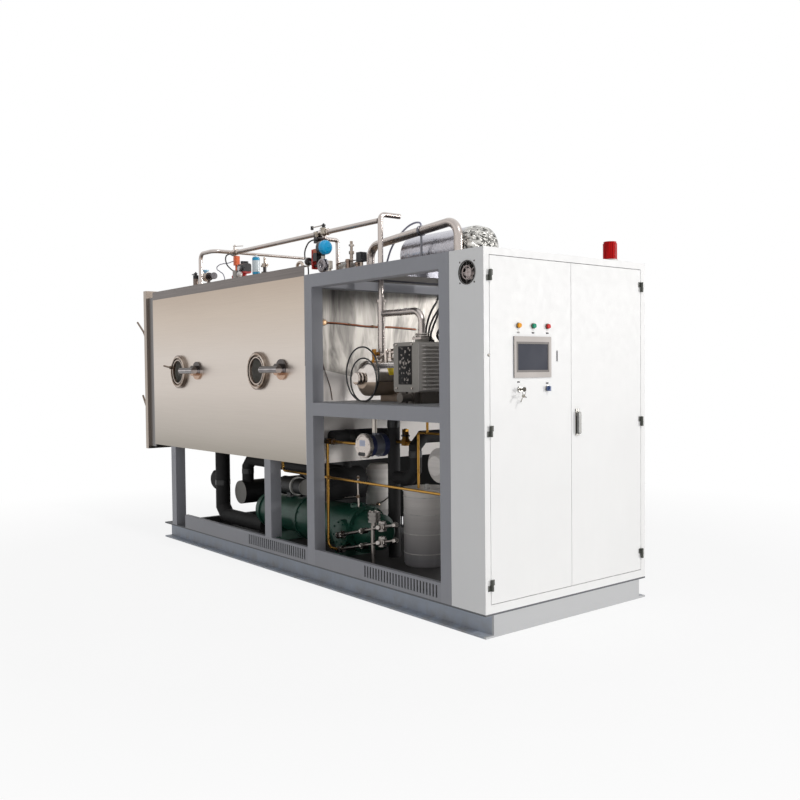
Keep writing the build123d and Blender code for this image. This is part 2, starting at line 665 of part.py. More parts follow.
# ------------------------------------------------------------------ pipes above the deck
riser_foot = pump_z + 128
riser_wide = 22.0
riser_narrow = 16.0
header_z = frame_top + 315
reducer_z = frame_top - 175
riser = turned(
    [(0, 0), (0, 27), (24, 27), (24, riser_wide), (reducer_z - riser_foot - 8, riser_wide),
     (reducer_z - riser_foot - 8, 31), (reducer_z - riser_foot + 8, 31),
     (reducer_z - riser_foot + 8, riser_narrow), (reducer_z - riser_foot + 60, riser_narrow),
     (reducer_z - riser_foot + 60, 0)],
    (pump_x, delivery_y, riser_foot), (0, 0, 1),
)
riser_top = reducer_z + 60
upper_riser = pipe(
    [(pump_x, delivery_y, riser_top), (pump_x, delivery_y, header_z + 36),
     (pump_x, delivery_y + 150, header_z + 36)],
    36, riser_narrow,
)

tee_x = x_chamber + 845
header_near_x = pump_x - riser_narrow
header = pipe([(header_near_x, delivery_y, header_z), (tee_x, delivery_y, header_z)], 0, riser_narrow)
header -= rod((pump_x, delivery_y, riser_top), (pump_x, delivery_y, header_z + 25), riser_narrow)

feed_x = tee_x - 215
feed_y = delivery_y - 180
feed_pipe = pipe(
    [(feed_x, feed_y, chamber_top), (feed_x, feed_y, header_z), (tee_x, feed_y, header_z),
     (tee_x, delivery_y - riser_narrow, header_z)],
    50, 15.0,
)
return_pipe = pipe(
    [(tee_x, delivery_y + riser_narrow, header_z), (tee_x, y_far - 160, header_z),
     (tee_x, y_far - 160, chamber_top)],
    50, 11.0,
)

branch_x = x_bay - 221
branch_z = header_z - 40
branch = pipe(
    [(branch_x, delivery_y, header_z - riser_narrow), (branch_x, delivery_y, branch_z),
     (branch_x, delivery_y + 110, branch_z), (branch_x, delivery_y + 110, chamber_top)],
    20, 14.0,
)
save("circulation_pipes", riser + upper_riser, header, feed_pipe, return_pipe, branch)

# vacuum line: polished branch from the riser to the pump inlet, and the large line from the chamber's roof
inlet_run = inlet_z + 168
polished = pipe(
    [(pump_x + riser_wide, delivery_y, inlet_run), (inlet_x, delivery_y, inlet_run),
     (inlet_x, delivery_y, inlet_z + 12)],
    70, 20.0,
)
polished -= rod((pump_x, delivery_y, inlet_run - 40), (pump_x, delivery_y, inlet_run + 40), riser_wide)
inlet_flange = block(inlet_x - 40, inlet_x + 40, delivery_y - 40, delivery_y + 40, inlet_z, inlet_z + 12)

line_radius = 27.0
line_x0 = x_bay - 30
line_low = frame_top + 220
line_high = frame_top + 285
vacuum_line = pipe(
    [(line_x0, line_y, chamber_top), (line_x0, line_y, line_low), (line_x1, line_y, line_high),
     (line_x1, line_y, inlet_z)],
    90, line_radius,
)
save("vacuum_lines", polished + inlet_flange, vacuum_line)

# expansion tank on two cross bars, wrapped in foil
tank_x0 = x_bay + 240
tank_x1 = x_bay + 935
tank_y = 62.0
tank_radius = 128.0
saddle = 8.0
tank_z = frame_top + saddle + tank_radius
tank_straight = tank_x1 - tank_x0 - 110
save(
    "expansion_tank",
    turned(
        [(0, 0), (0, tank_radius), (tank_straight, tank_radius), (tank_straight + 60, tank_radius * 0.86),
         (tank_straight + 96, tank_radius * 0.55), (tank_straight + 110, 0)],
        (tank_x0, tank_y, tank_z), (1, 0, 0),
    ),
)

narrow_bar = x_bay + 290
wide_bar = x_bay + 440
bars = [
    block(narrow_bar, narrow_bar + 60, y_near + tube, y_far - tube, frame_top - 50, frame_top),
    block(wide_bar, wide_bar + 240, y_near + tube, y_far - tube, frame_top - 50, frame_top),
]
saddles = []
for x in (narrow_bar, wide_bar + 160):
    cradle = block(x, x + 60, tank_y - 85, tank_y + 85, frame_top, frame_top + 40)
    saddles.append(cradle - rod((x - 1, tank_y, tank_z), (x + 61, tank_y, tank_z), tank_radius))

# post and clamp that carry the vacuum line over the bars
stay_x = wide_bar + 50
stay_slope = (line_high - line_low) / (line_x1 - line_x0)
stay_z = line_low + (stay_x - line_x0) * stay_slope
line_way = (Vector(line_x1, line_y, line_high) - Vector(line_x0, line_y, line_low)).normalized()
clamp = ring(Vector(stay_x, line_y, stay_z) - line_way * 9, line_way, 18, line_radius + 6, line_radius)
stay = rod((stay_x, line_y, frame_top), (stay_x, line_y, stay_z - line_radius - 2), 7)
stay -= rod(Vector(stay_x, line_y, stay_z) - line_way * 60, Vector(stay_x, line_y, stay_z) + line_way * 60,
            line_radius)
save("tank_supports", *bars, *saddles, clamp + stay)

# ------------------------------------------------------------------ valves on the chamber's roof
roof = chamber_top
valve_y = y_near + 200
lever_pin = 5.0


def lever(x, y, z, reach, angle):
    """A flat hand lever with a hub, turning about Z on the valve's stem."""
    hub_ring = ring((x, y, z), (0, 0, 1), 8, 13, lever_pin + pin_gap)
    arm = Pos(x, y, z + 4) * Rot(0, 0, angle) * Pos(reach / 2 + 8, 0, 0) * Box(reach, 12, 5)
    return hub_ring + arm


def valve_stem(x, y, z):
    """The stem and stop collar that a lever turns on."""
    return ring((x, y, z), (0, 0, 1), 26, lever_pin, 0) + ring((x, y, z), (0, 0, 1), 10 - run_gap, 11, 0)


# motor-driven feed valve, with a quarter-turn hand valve beside it
feed_valve_x = feed_x - 20
feed_axis = roof + 152
feed_body = ring((feed_valve_x - 10, valve_y, roof), (0, 0, 1), 12, 34, 0)
feed_body += rod((feed_valve_x - 10, valve_y, roof), (feed_valve_x - 10, valve_y, feed_axis), 14)
feed_body += turned(
    [(-72, 0), (-72, 22), (-56, 22), (-56, 34), (-8, 34), (-8, 31), (8, 31), (8, 17), (22, 17), (22, 12),
     (74, 12), (74, 26),
     (88, 26), (88, 0)],
    (feed_valve_x, valve_y, feed_axis), (1, 0, 0),
)
feed_body += rod((feed_valve_x - 62, valve_y, feed_axis), (feed_valve_x - 62, valve_y, feed_axis + 46), 10)
feed_body += ring((feed_valve_x - 62, valve_y, feed_axis + 46), (0, 0, 1), 10, 27, 0)
side_x = feed_x - 86
side_top = roof + 163
side_valve = turned(
    [(0, 0), (0, 26), (10, 26), (10, 13), (74, 13), (74, 21), (side_top - roof, 21), (side_top - roof, 0)],
    (side_x, feed_y, roof), (0, 0, 1),
)
side_valve += valve_stem(side_x, feed_y, side_top)
save("feed_valve", feed_body, side_valve)
save("feed_valve_lever", lever(side_x, feed_y, side_top + 10, 84, 170))

# air-driven pilot group: base block, coil, actuator and filter bowl
pilot_x = tee_x + 208
pilot_base = block(pilot_x - 26, pilot_x + 26, valve_y - 26, valve_y + 26, roof, roof + 158)
pilot_base = chamfer(pilot_base.edges().filter_by(Axis.Z), 10)
coil = block(pilot_x - 20, pilot_x + 20, valve_y - 20, valve_y + 20, roof + 196, roof + 264)
coil = chamfer(coil.edges().filter_by(Axis.Z), 7)
coil += ring((pilot_x, valve_y, roof + 158), (0, 0, 1), 40, 11, 0)
save("solenoid_coil", coil)
actuator_x = pilot_x + 60
actuator = block(actuator_x, actuator_x + 104, valve_y - 30, valve_y + 30, roof + 124, roof + 196)
actuator = chamfer(actuator.edges().filter_by(Axis.X), 9)
actuator += ring((actuator_x + 30, valve_y, roof + 196), (0, 0, 1), 22, 15, 0)
actuator += ring((actuator_x + 74, valve_y, roof + 196), (0, 0, 1), 16, 20, 0)
actuator += rod((pilot_x + 26, valve_y, roof + 140), (actuator_x, valve_y, roof + 140), 12)
actuator += rod((actuator_x + 52, valve_y - 48, roof + 160), (actuator_x + 52, valve_y, roof + 160), 17)
actuator += rod((actuator_x + 52, valve_y, roof), (actuator_x + 52, valve_y, roof + 124), 16)
actuator += rod((actuator_x - 20, valve_y, roof + 112), (actuator_x + 52, valve_y, roof + 112), 18)
red_tube = rod((pilot_x - 26, valve_y, roof + 116), (pilot_x - 58, valve_y, roof + 116), 12)
red_tube += rod((pilot_x - 46, valve_y, roof), (pilot_x - 46, valve_y, roof + 128), 10)
save("pilot_valve", pilot_base, actuator, red_tube)
bowl_x = pilot_x + 284
save(
    "filter_bowl",
    turned(
        [(0, 0), (0, 14), (96, 14), (96, 24), (106, 24), (106, 27), (222, 27), (222, 23), (230, 23),
         (230, 10), (240, 10),
         (240, 0)],
        (bowl_x, valve_y, roof), (0, 0, 1),
    ),
)
bleed_x = pilot_x + 404
bleed = turned(
    [(0, 0), (0, 26), (12, 26), (12, 12), (88, 12), (88, 24), (112, 24), (112, 12), (146, 12), (146, 20),
     (170, 20),
     (170, 8), (214, 8), (214, 0)],
    (bleed_x, valve_y, roof), (0, 0, 1),
)
bleed += rod((bleed_x - 40, valve_y, roof + 156), (bleed_x + 40, valve_y, roof + 156), 8)

# isolation valve: flanged body, diaphragm actuator with a domed cap, and its own pilot coil
iso_x = x_bay - 33
iso_axis = roof + 198
iso_body = turned(
    [(0, 0), (0, 31), (12, 31), (12, 24), (60, 24), (60, 32), (108, 32), (108, 0)],
    (iso_x, valve_y, roof), (0, 0, 1),
)
iso_port = turned(
    [(0, 0), (0, 44), (12, 44), (12, 24), (40, 24), (40, 0)],
    (iso_x, valve_y - 34, roof + 78), (0, 1, 0),
)
iso_port -= rod((iso_x, valve_y - 35, roof + 78), (iso_x, valve_y - 26, roof + 78), 16)
iso_cap_x = iso_x - 34
iso_head = ring((iso_cap_x - 34, valve_y, iso_axis), (1, 0, 0), 34, 45, 0)
iso_head += ring((iso_cap_x - 50, valve_y, iso_axis), (1, 0, 0), 16, 24, 0)
iso_head += rod((iso_cap_x - 16, valve_y, roof + 80), (iso_cap_x - 16, valve_y, iso_axis), 13)
iso_coil = block(iso_x - 132, iso_x - 90, valve_y - 24, valve_y + 24, roof + 118, roof + 196)
iso_coil += block(iso_x - 156, iso_x - 144, valve_y - 20, valve_y + 20, roof + 70, roof + 196)
iso_coil += rod((iso_x - 170, valve_y, roof + 90), (iso_x, valve_y, roof + 90), 10)
iso_coil += rod((iso_x - 112, valve_y, roof + 90), (iso_x - 112, valve_y, roof + 118), 9)
iso_coil += rod((iso_x - 92, valve_y, roof + 180), (iso_cap_x - 48, valve_y, roof + 180), 8)
drop_pipe = pipe(
    [(iso_x - 360, valve_y, roof), (iso_x - 360, valve_y, roof + 132), (iso_x - 292, valve_y, roof + 132),
     (iso_x - 292, valve_y, roof)],
    30, 11.0,
)
save("isolation_valve", iso_body, iso_port - iso_body, iso_head - iso_body, iso_coil - iso_body - iso_head,
     drop_pipe)
save(
    "actuator_cap",
    turned([(0, 0), (0, 46), (18, 46), (30, 40), (38, 28), (42, 0)], (iso_cap_x, valve_y, iso_axis),
           (1, 0, 0)),
)

# upright fitting on the bay's cross beam, and a gauge box beside it
fitting_x = x_bay + tube / 2
fitting_y = -305.0
fitting = turned(
    [(0, 0), (0, 24), (10, 24), (10, 12), (60, 12), (60, 21), (80, 21), (80, 11), (150, 11), (150, 17),
     (168, 17),
     (168, 9), (232, 9), (232, 0)],
    (fitting_x, fitting_y, frame_top), (0, 0, 1),
)
box_x = x_bay + 194
box_y = y_near + 300
box_bar = block(box_x - 34, box_x + 34, y_near + tube, box_y + 34, frame_top - 12, frame_top - 4)
gauge_box = block(box_x - 24, box_x + 24, box_y - 24, box_y + 24, frame_top + 84, frame_top + 142)
gauge_box += rod((box_x, box_y, frame_top - 4), (box_x, box_y, frame_top + 84), 11)
gauge_box += rod((box_x - 62, box_y, frame_top + 46), (box_x + 40, box_y, frame_top + 46), 13)
save("relief_valves", bleed, fitting, gauge_box + box_bar)

# hand valves with levers that turn a quarter: on the header's tee, on its branch and on the bay's beam
tee_body = turned([(0, 0), (0, 24), (60, 24), (60, 0)], (tee_x - 30, delivery_y, header_z), (1, 0, 0))
tee_body += ring((tee_x, delivery_y, header_z + 10), (0, 0, 1), 24, 13, 0) + valve_stem(tee_x, delivery_y,
        header_z + 34)
tee_body -= rod((tee_x - 40, delivery_y, header_z), (tee_x + 40, delivery_y, header_z), riser_narrow)
tee_body -= rod((tee_x, delivery_y - 40, header_z), (tee_x, delivery_y, header_z), 15)
tee_body -= rod((tee_x, delivery_y + 40, header_z), (tee_x, delivery_y, header_z), 11)
save("tee_valve_lever", lever(tee_x, delivery_y, header_z + 44, 60, 35))

cross_body = turned([(0, 0), (0, 25), (70, 25), (70, 0)], (branch_x - 35, delivery_y, header_z), (1, 0, 0))
cross_body += ring((branch_x, delivery_y, header_z + 10), (0, 0, 1), 26, 14, 0) + valve_stem(branch_x,
        delivery_y, header_z + 36)
cross_body += ring((branch_x, delivery_y, header_z - 20), (0, 0, 1), 10, 20, 0)
cross_body -= rod((branch_x - 40, delivery_y, header_z), (branch_x + 40, delivery_y, header_z), riser_narrow)
cross_body -= rod((branch_x, delivery_y, header_z - 60), (branch_x, delivery_y, header_z), 14)
pilot_block = block(branch_x - 84, branch_x - 40, delivery_y - 24, delivery_y + 24, header_z - 62,
                    header_z + 14)
pilot_block -= rod((branch_x - 90, delivery_y, header_z), (branch_x - 30, delivery_y, header_z), riser_narrow)
header_reach = 134.0
lever_knob = ring((branch_x - header_reach - 4, delivery_y, header_z + 36), (0, 0, 1), 24, 10, 0)
save("header_valve_lever", lever(branch_x, delivery_y, header_z + 46, header_reach, 180) + lever_knob)

bay_valve_x = x_bay + tube / 2
bay_valve_y = fitting_y + 110
bay_valve = turned([(0, 0), (0, 20), (14, 20), (14, 28), (52, 28), (52, 0)],
                   (bay_valve_x, bay_valve_y, frame_top), (0, 0, 1))
bay_valve += valve_stem(bay_valve_x, bay_valve_y, frame_top + 52)
save("hand_valves", tee_body, cross_body, bay_valve, pilot_block)
save("bay_valve_lever", lever(bay_valve_x, bay_valve_y, frame_top + 62, 76, 0))

# ------------------------------------------------------------------ lower machinery
# semi-hermetic compressor, its axis along X, on two cradles
comp_y = y_near + 350
comp_z = pan_top + 190
comp_x0 = x_bay - 1105
comp_radius = 143.0
comp_length = 1435.0
compressor = turned(
    [(0, 0), (0, 80), (40, 112), (90, 118), (90, 132), (116, 132), (116, 122), (605, 122), (605, 150),
     (637, 150),
     (637, comp_radius), (1235, comp_radius), (1235, 152), (1267, 152), (1267, 124), (comp_length - 30, 112),
     (comp_length, 80), (comp_length, 0)],
    (comp_x0, comp_y, comp_z), (1, 0, 0),
)
compressor += ring((comp_x0 + 1195, comp_y - comp_radius + 20, comp_z - 14), (0, -1, 0), 46, 84, 0)
cradles = [
    block(x, x + 70, comp_y - 100, comp_y + 100, pan_top, comp_z - 60) - compressor for x in (comp_x0 + 285,
            comp_x0 + 1045)
]
head = turned(
    [(0, 0), (0, 40), (44, 40), (44, 50), (64, 50), (64, 36), (72, 36), (72, 0)],
    (comp_x0 + 1165, comp_y, comp_z + 86), (0, 0, 1),
)
save("compressor", compressor, head - compressor, *cradles)

# service valves: a manifold in front of the crankcase, with two sloping arms and a ribbed head
arm_y = comp_y - 200
arm_x = x_bay + 481
arm_rise = 0.24
arm_reach = 330.0
arm_high = comp_z + 68
arm_low = comp_z - 22
manifold = rod((arm_x, arm_y, pan_top + 50), (arm_x, arm_y, arm_high + 52), 12)
for z in (arm_high, arm_low):
    nut_x = arm_x - arm_reach
    nut_z = z - arm_reach * arm_rise
    tip_z = z + 230 * arm_rise
    manifold += rod((nut_x, arm_y, nut_z), (arm_x + 230, arm_y, tip_z), 10)
    manifold += rod((nut_x - 26, arm_y, nut_z - 6), (nut_x + 30, arm_y, nut_z + 7), 20)
    manifold += ring((arm_x + 92, arm_y, z), (0, 0, 1), 46, 25, 0)
    manifold += rod((arm_x - 90, arm_y - 22, z - 22), (arm_x - 90, arm_y + 22, z - 22), 17)
stubs = [
    rod((arm_x - arm_reach, arm_y, z - arm_reach * arm_rise),
        (arm_x - arm_reach, comp_y, z - arm_reach * arm_rise), 9)
    for z in (arm_high, arm_low)
]
valve_head = turned(
    [(0, 0), (0, 16), (22, 16), (22, 38), (34, 38), (34, 33), (46, 33), (46, 38), (58, 38), (58, 33),
     (70, 33), (70, 38),
     (82, 38), (82, 0)],
    (arm_x + 14, arm_y, arm_high + 22), (0, 0, 1),
)
save("service_valves", manifold, valve_head - manifold, *[stub - manifold - compressor for stub in stubs])

# oil separator above the compressor, the receiver across the skid and a lagged vessel hung beside it
sep_x0 = x_bay - 830
sep_z = comp_z + 201
separator = turned(
    [(0, 0), (0, 60), (162, 60), (162, 66), (178, 66), (178, 56), (280, 56), (280, 0)],
    (sep_x0, comp_y, sep_z), (1, 0, 0),
)
sep_foot = block(sep_x0 + 70, sep_x0 + 120, comp_y - 30, comp_y + 30, comp_z + 100, sep_z - 45)
sep_foot -= compressor + separator
receiver_x = x_chamber + 784
receiver_z = pan_top + 265
receiver_radius = 90.0
receiver = turned(
    [(0, 0), (0, receiver_radius), (560, receiver_radius), (600, 55), (600, 0)],
    (receiver_x, comp_y, receiver_z), (0, 1, 0),
)
receiver_feet = [
    block(receiver_x - 60, receiver_x + 60, y, y + 50, pan_top,
          receiver_z - 50) - receiver for y in (comp_y + 200, comp_y + 480)
]
save("refrigerant_vessels", separator, sep_foot, receiver, *receiver_feet)
acc_x = x_bay - 110
acc_y = y_near + 162
acc_z = chamber_bottom - 156
acc_radius = 108.0
accumulator = turned(
    [(0, 0), (0, 80), (20, acc_radius), (320, acc_radius), (340, 80), (340, 0)],
    (acc_x, acc_y, acc_z), (0, 1, 0),
)
acc_hanger = rod((acc_x, acc_y + 228, acc_z), (acc_x, acc_y + 228, chamber_bottom), 30) - accumulator
hung_x = x_chamber + 402
hung_z = chamber_bottom - 284
hung_vessel = turned([(0, 0), (0, 60), (14, 76), (100, 76), (100, 0)], (hung_x, comp_y - 30, hung_z),
                     (0, 1, 0))
hung_vessel += rod((hung_x, comp_y + 20, hung_z), (hung_x, comp_y + 20, chamber_bottom), 14)

# thick insulated suction pipes
drop_x = x_chamber + 555
line_back_y = comp_y - 30
suction_run = pan_top + 66
cold_run = chamber_bottom - 95
high_run = deck_height - 225
high_x = x_bay + 60
lagging_x = x_bay + 210
lagging_y = -110.0
leg_pitch = 215.0
leg = rod((lagging_x, lagging_y, pan_top), (lagging_x, lagging_y, deck_height), 40)
insulated = [
    lagged_pipe([(drop_x, line_back_y, chamber_bottom), (drop_x, line_back_y, suction_run),
                 (comp_x0 + 60, line_back_y, suction_run)],
                70, 57) - compressor,
    lagged_pipe([(receiver_x, -222, receiver_z), (receiver_x, -222, cold_run), (acc_x, -222, cold_run)], 60,
                45)
    - receiver - accumulator,
    lagged_pipe([(high_x, y_near + 150, high_run), (high_x, lagging_y, high_run),
                 (lagging_x, lagging_y, high_run)], 60, 45) - leg,
    lagged_pipe(
        [(lagging_x, lagging_y, deck_height - 490), (lagging_x + leg_pitch, lagging_y, deck_height - 490),
         (lagging_x + leg_pitch, lagging_y, high_run), (lagging_x + leg_pitch, lagging_y + 240, high_run)],
        60, 40,
    ) - leg,
]
save("insulated_pipes", accumulator, acc_hanger, hung_vessel, leg, *insulated)

# buffer tank, brine tank and the lagged separator above it
buffer_x = x_bay + 502
buffer_y = -95.0
buffer_tank = turned(
    [(0, 0), (0, 128), (14, 128), (14, 136), (456, 136), (456, 142), (474, 142), (474, 0)],
    (buffer_x, buffer_y, pan_top), (0, 0, 1),
)
brine_x = x_bay - 98
brine_tank = turned(
    [(0, 0), (0, 60), (230, 60), (230, 70), (270, 86), (540, 86), (570, 60), (570, 0)],
    (brine_x, 0, pan_top), (0, 0, 1)
)
lag_x = x_bay + 884
lag_y = y_near + 290
lag_z = deck_height - 352
lagged = turned([(0, 0), (0, 56), (36, 100), (330, 100), (360, 60), (360, 0)], (lag_x, lag_y, lag_z),
                (0, 1, 0))
hanger = rod((lag_x, lag_y + 200, lag_z), (lag_x, lag_y + 200, deck_height), 22) - lagged
save("coolant_tanks", buffer_tank, brine_tank, lagged, hanger)

# flow meter with its two connections
meter_x = x_bay + 437
meter_z = deck_height - 254
meter_y = y_near + 118
meter = turned(
    [(0, 0), (0, 74), (22, 74), (22, 66), (58, 66), (58, 60), (112, 60), (112, 70), (150, 70), (150, 0)],
    (meter_x, meter_y, meter_z), (0, 1, 0),
)
meter_pipe = rod((meter_x, meter_y + 85, meter_z), (meter_x, meter_y + 85, deck_height), 15)
save("flow_meter", meter, meter_pipe - meter)

# copper lines along the front of the bay, and the charging line above the buffer tank
line_front = meter_y + 10
copper_x = x_bay + 46
copper_radius = 9.0
thin = copper_radius - 1
low_run = chamber_bottom - 85
copper_top = meter_z + 8
arm_nut_z = arm_low - arm_reach * arm_rise
charge_y = buffer_y - 55
charge_z = high_run + 35
link_z = high_run - 37
link_x = lagging_x + 120
main_line = pipe(
    [(copper_x, line_front, copper_top), (copper_x, line_front, arm_nut_z),
     (arm_x - arm_reach - 20, line_front, arm_nut_z)],
    40, copper_radius,
) - manifold
tee_joint = rod((copper_x - 14, line_front, low_run), (copper_x + 14, line_front, low_run), 12) - main_line
run_right = rod((copper_x + 14, line_front, low_run), (x_cabinet, line_front, low_run), thin)
run_left = pipe(
    [(x_bay - 490, line_front, chamber_bottom), (x_bay - 490, line_front, low_run),
     (copper_x - 14, line_front, low_run)],
    30, thin,
)
meter_feed = rod((copper_x, line_front, copper_top), (meter_x, line_front, copper_top),
                 copper_radius) - meter - main_line
stop_valve = block(copper_x + 14, copper_x + 60, line_front - 14, line_front + 14, copper_top - 16,
                   copper_top + 16) - meter_feed
charge = pipe(
    [(buffer_x, charge_y, pan_top + 474), (buffer_x, charge_y, charge_z),
     (buffer_x + 228, charge_y, charge_z),
     (buffer_x + 228, charge_y, deck_height)],
    20, thin,
)
charge += rod((buffer_x + 88, charge_y, charge_z), (buffer_x + 88, charge_y, deck_height), thin)
# stop valve between the two lagged legs behind
link = rod((lagging_x + 30, lagging_y, link_z), (lagging_x + leg_pitch - 30, lagging_y, link_z), 12)
link += block(link_x - 20, link_x + 20, lagging_y - 18, lagging_y + 18, link_z - 20, link_z + 20)
link += block(link_x - 16, link_x + 16, lagging_y - 14, lagging_y + 14, link_z + 20, link_z + 83)
link -= leg + insulated[-1]
save("copper_lines", main_line, tee_joint, run_right, run_left, meter_feed, stop_valve, charge, link)

# ------------------------------------------------------------------ hoses and cables between housings
hose = 5.0
cable = 3.5
sides = 8                   # hoses are drawn eight-sided


def hose_run(points, bend, radius):
    """A hose or cable along straight runs joined by round bends."""
    path = FilletPolyline(*points, radius=bend)
    return sweep(Plane(origin=path @ 0, z_dir=path % 0) * RegularPolygon(radius, sides), path=path)


def cable_loop(x, y, z, radius, thickness):
    """One closed turn of cable, upright, its axis along Y."""
    section = Plane(origin=(x + radius, y, z), x_dir=(1, 0, 0), z_dir=(0, 0, 1)) * RegularPolygon(thickness,
            sides)
    return revolve(section, Axis((x, y, z), (0, 1, 0)))


# two turns of cable round the pump, resting on the deck
loop_radius = 128.0
loop_z = deck_top + loop_radius + hose
loops = [cable_loop(pump_x, pump_y + 60 + i * 2 * hose, loop_z, loop_radius, hose) for i in range(2)]

# air hose from the header's pilot block down to the roof
air_y = valve_y + 40
block_x = branch_x - 45
header_hose = hose_run(
    [(block_x, delivery_y - 10, header_z - 48), (block_x, air_y, header_z - 48),
     (block_x - 79, air_y, header_z - 90),
     (block_x - 93, air_y, header_z - 155), (block_x - 57, air_y, header_z - 192),
     (block_x - 57, air_y, roof)],
    14, hose,
)

# air hose looped from the pilot base up to its coil, and the signal cable from the roof to the coil
coil_hose = hose_run(
    [(pilot_x - 20, valve_y, roof + 150), (pilot_x - 150, valve_y, roof + 222),
     (pilot_x - 187, valve_y, roof + 293),
     (pilot_x - 86, valve_y, roof + 286), (pilot_x, valve_y, roof + 256)],
    20, hose,
)
signal_cable = hose_run(
    [(pilot_x - 185, valve_y, roof), (pilot_x - 185, valve_y, roof + 142),
     (pilot_x - 327, valve_y, roof + 216),
     (pilot_x - 229, valve_y, roof + 229), (pilot_x - 134, valve_y, roof + 227),
     (pilot_x - 50, valve_y, roof + 232),
     (pilot_x, valve_y, roof + 232)],
    14, cable,
)

# lamp cable from the bay's end beam, behind the vacuum line and over on to it
lamp_y = line_y + 40
lamp_cable = hose_run(
    [(x_bay + 70, lamp_y, frame_top), (x_bay + 70, lamp_y, frame_top + 40),
     (x_bay + 148, lamp_y, frame_top + 202),
     (x_bay + 222, lamp_y, frame_top + 264), (x_bay + 283, lamp_y, frame_top + 301),
     (x_bay + 373, lamp_y, frame_top + 330), (x_bay + 448, lamp_y, frame_top + 312),
     (x_bay + 466, line_y, frame_top + 258)],
    16, cable,
)
save(
    "hoses",
    *loops,
    header_hose - pilot_block,
    coil_hose - pilot_base - coil,
    signal_cable - coil,
    lamp_cable - vacuum_line,
)
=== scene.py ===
import math

import bmesh
import bpy
from bpy.props import FloatVectorProperty, PointerProperty
from mathutils import Matrix, Vector


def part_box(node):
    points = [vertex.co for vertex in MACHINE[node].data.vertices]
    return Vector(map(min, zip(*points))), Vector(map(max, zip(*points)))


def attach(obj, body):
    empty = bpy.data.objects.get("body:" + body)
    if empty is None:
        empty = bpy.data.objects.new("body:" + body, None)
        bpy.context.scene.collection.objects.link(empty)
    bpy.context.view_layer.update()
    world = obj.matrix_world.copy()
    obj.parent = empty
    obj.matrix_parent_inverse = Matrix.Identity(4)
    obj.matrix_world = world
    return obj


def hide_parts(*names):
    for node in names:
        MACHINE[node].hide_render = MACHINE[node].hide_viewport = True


bl_info = {
    "name": "Freeze dryer finishes",
    "version": (1, 0, 0),
    "blender": (4, 5, 0),
    "location": "View3D > Sidebar > Freeze dryer",
    "description": "Finishes and small fittings of a skid-mounted vacuum freeze dryer",
    "category": "Object",
}

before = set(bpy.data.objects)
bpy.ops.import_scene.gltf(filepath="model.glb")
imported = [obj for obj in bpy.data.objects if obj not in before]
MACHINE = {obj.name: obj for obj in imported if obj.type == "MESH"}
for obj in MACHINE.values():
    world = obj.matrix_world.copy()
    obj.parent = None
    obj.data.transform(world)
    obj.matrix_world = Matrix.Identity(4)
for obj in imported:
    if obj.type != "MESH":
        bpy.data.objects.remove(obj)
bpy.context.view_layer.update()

# Directions and places, in metres in the frame's axes
X, Y, Z = (1, 0, 0), (0, 1, 0), (0, 0, 1)
NEAR = (0, -1, 0)                       # towards the side with the sight glasses
# TOWARDS_SKY: where the painted reflection on polished metal is lightest
TOWARDS_SKY = (0.42, -0.12, 0.9)        # where polished metal is brightest
DELIVERY_Y, HEADER_Z = -0.34, 2.235     # the long header pipe above the roof
VALVE_Y = -0.44                         # the row of valves along the roof
PUMP_X, PUMP_Z = 0.65, 1.277            # the circulation pump's axis
RISER_FOOT = PUMP_Z + 0.128             # the top of the pump's casing
BRANCH_Y, BRANCH_Z = -0.4, 1.43         # the branch beside the riser
INLET_X = 1.03                          # the vacuum pump's inlet
CASING_TOP = 1.486                      # where the vacuum pump's cables go in
SIGHT_RADIUS = 0.128                    # outside of a sight glass ring
PANEL_PROUD = 0.006                     # how far the touch screen stands out of the cabinet door
HOSE_RADIUS = 0.005


# ---------------------------------------------------------------- shader tools
def paint(red, green, blue):
    """A colour given as 0-255 display values, as the shader wants it."""
    parts = []
    for level in (red, green, blue):
        share = level / 255
        parts.append(share / 12.92 if share <= 0.04045 else ((share + 0.055) / 1.055) ** 2.4)
    return (*parts, 1.0)


class Value:
    """A shader socket that can be used in arithmetic: each operation adds a Math node."""

    def __init__(self, finish, socket):
        self.finish = finish
        self.socket = socket

    def math(self, operation, *terms):
        return self.finish.node("ShaderNodeMath", {"operation": operation}, dict(enumerate(terms)))

    def __rsub__(self, other):
        return self.math("SUBTRACT", other, self)

    def __abs__(self):
        return self.math("ABSOLUTE", self)

    def ramp(self, low, high):
        """0 below low, 1 above high and even between."""
        return self.finish.node(
            "ShaderNodeMapRange", {"clamp": True},
            {"Value": self, "From Min": low, "From Max": high, "To Min": 0.0, "To Max": 1.0},
        )

    def between(self, low, high):
        return (self > low) * (self < high)


for method, math_mode in (
    ("__add__", "ADD"), ("__sub__", "SUBTRACT"), ("__mul__", "MULTIPLY"), ("__pow__", "POWER"),
    ("__gt__", "GREATER_THAN"), ("__lt__", "LESS_THAN"), ("or_else", "MAXIMUM"),
):
    setattr(Value, method, lambda self, other, mode=math_mode: self.math(mode, self, other))


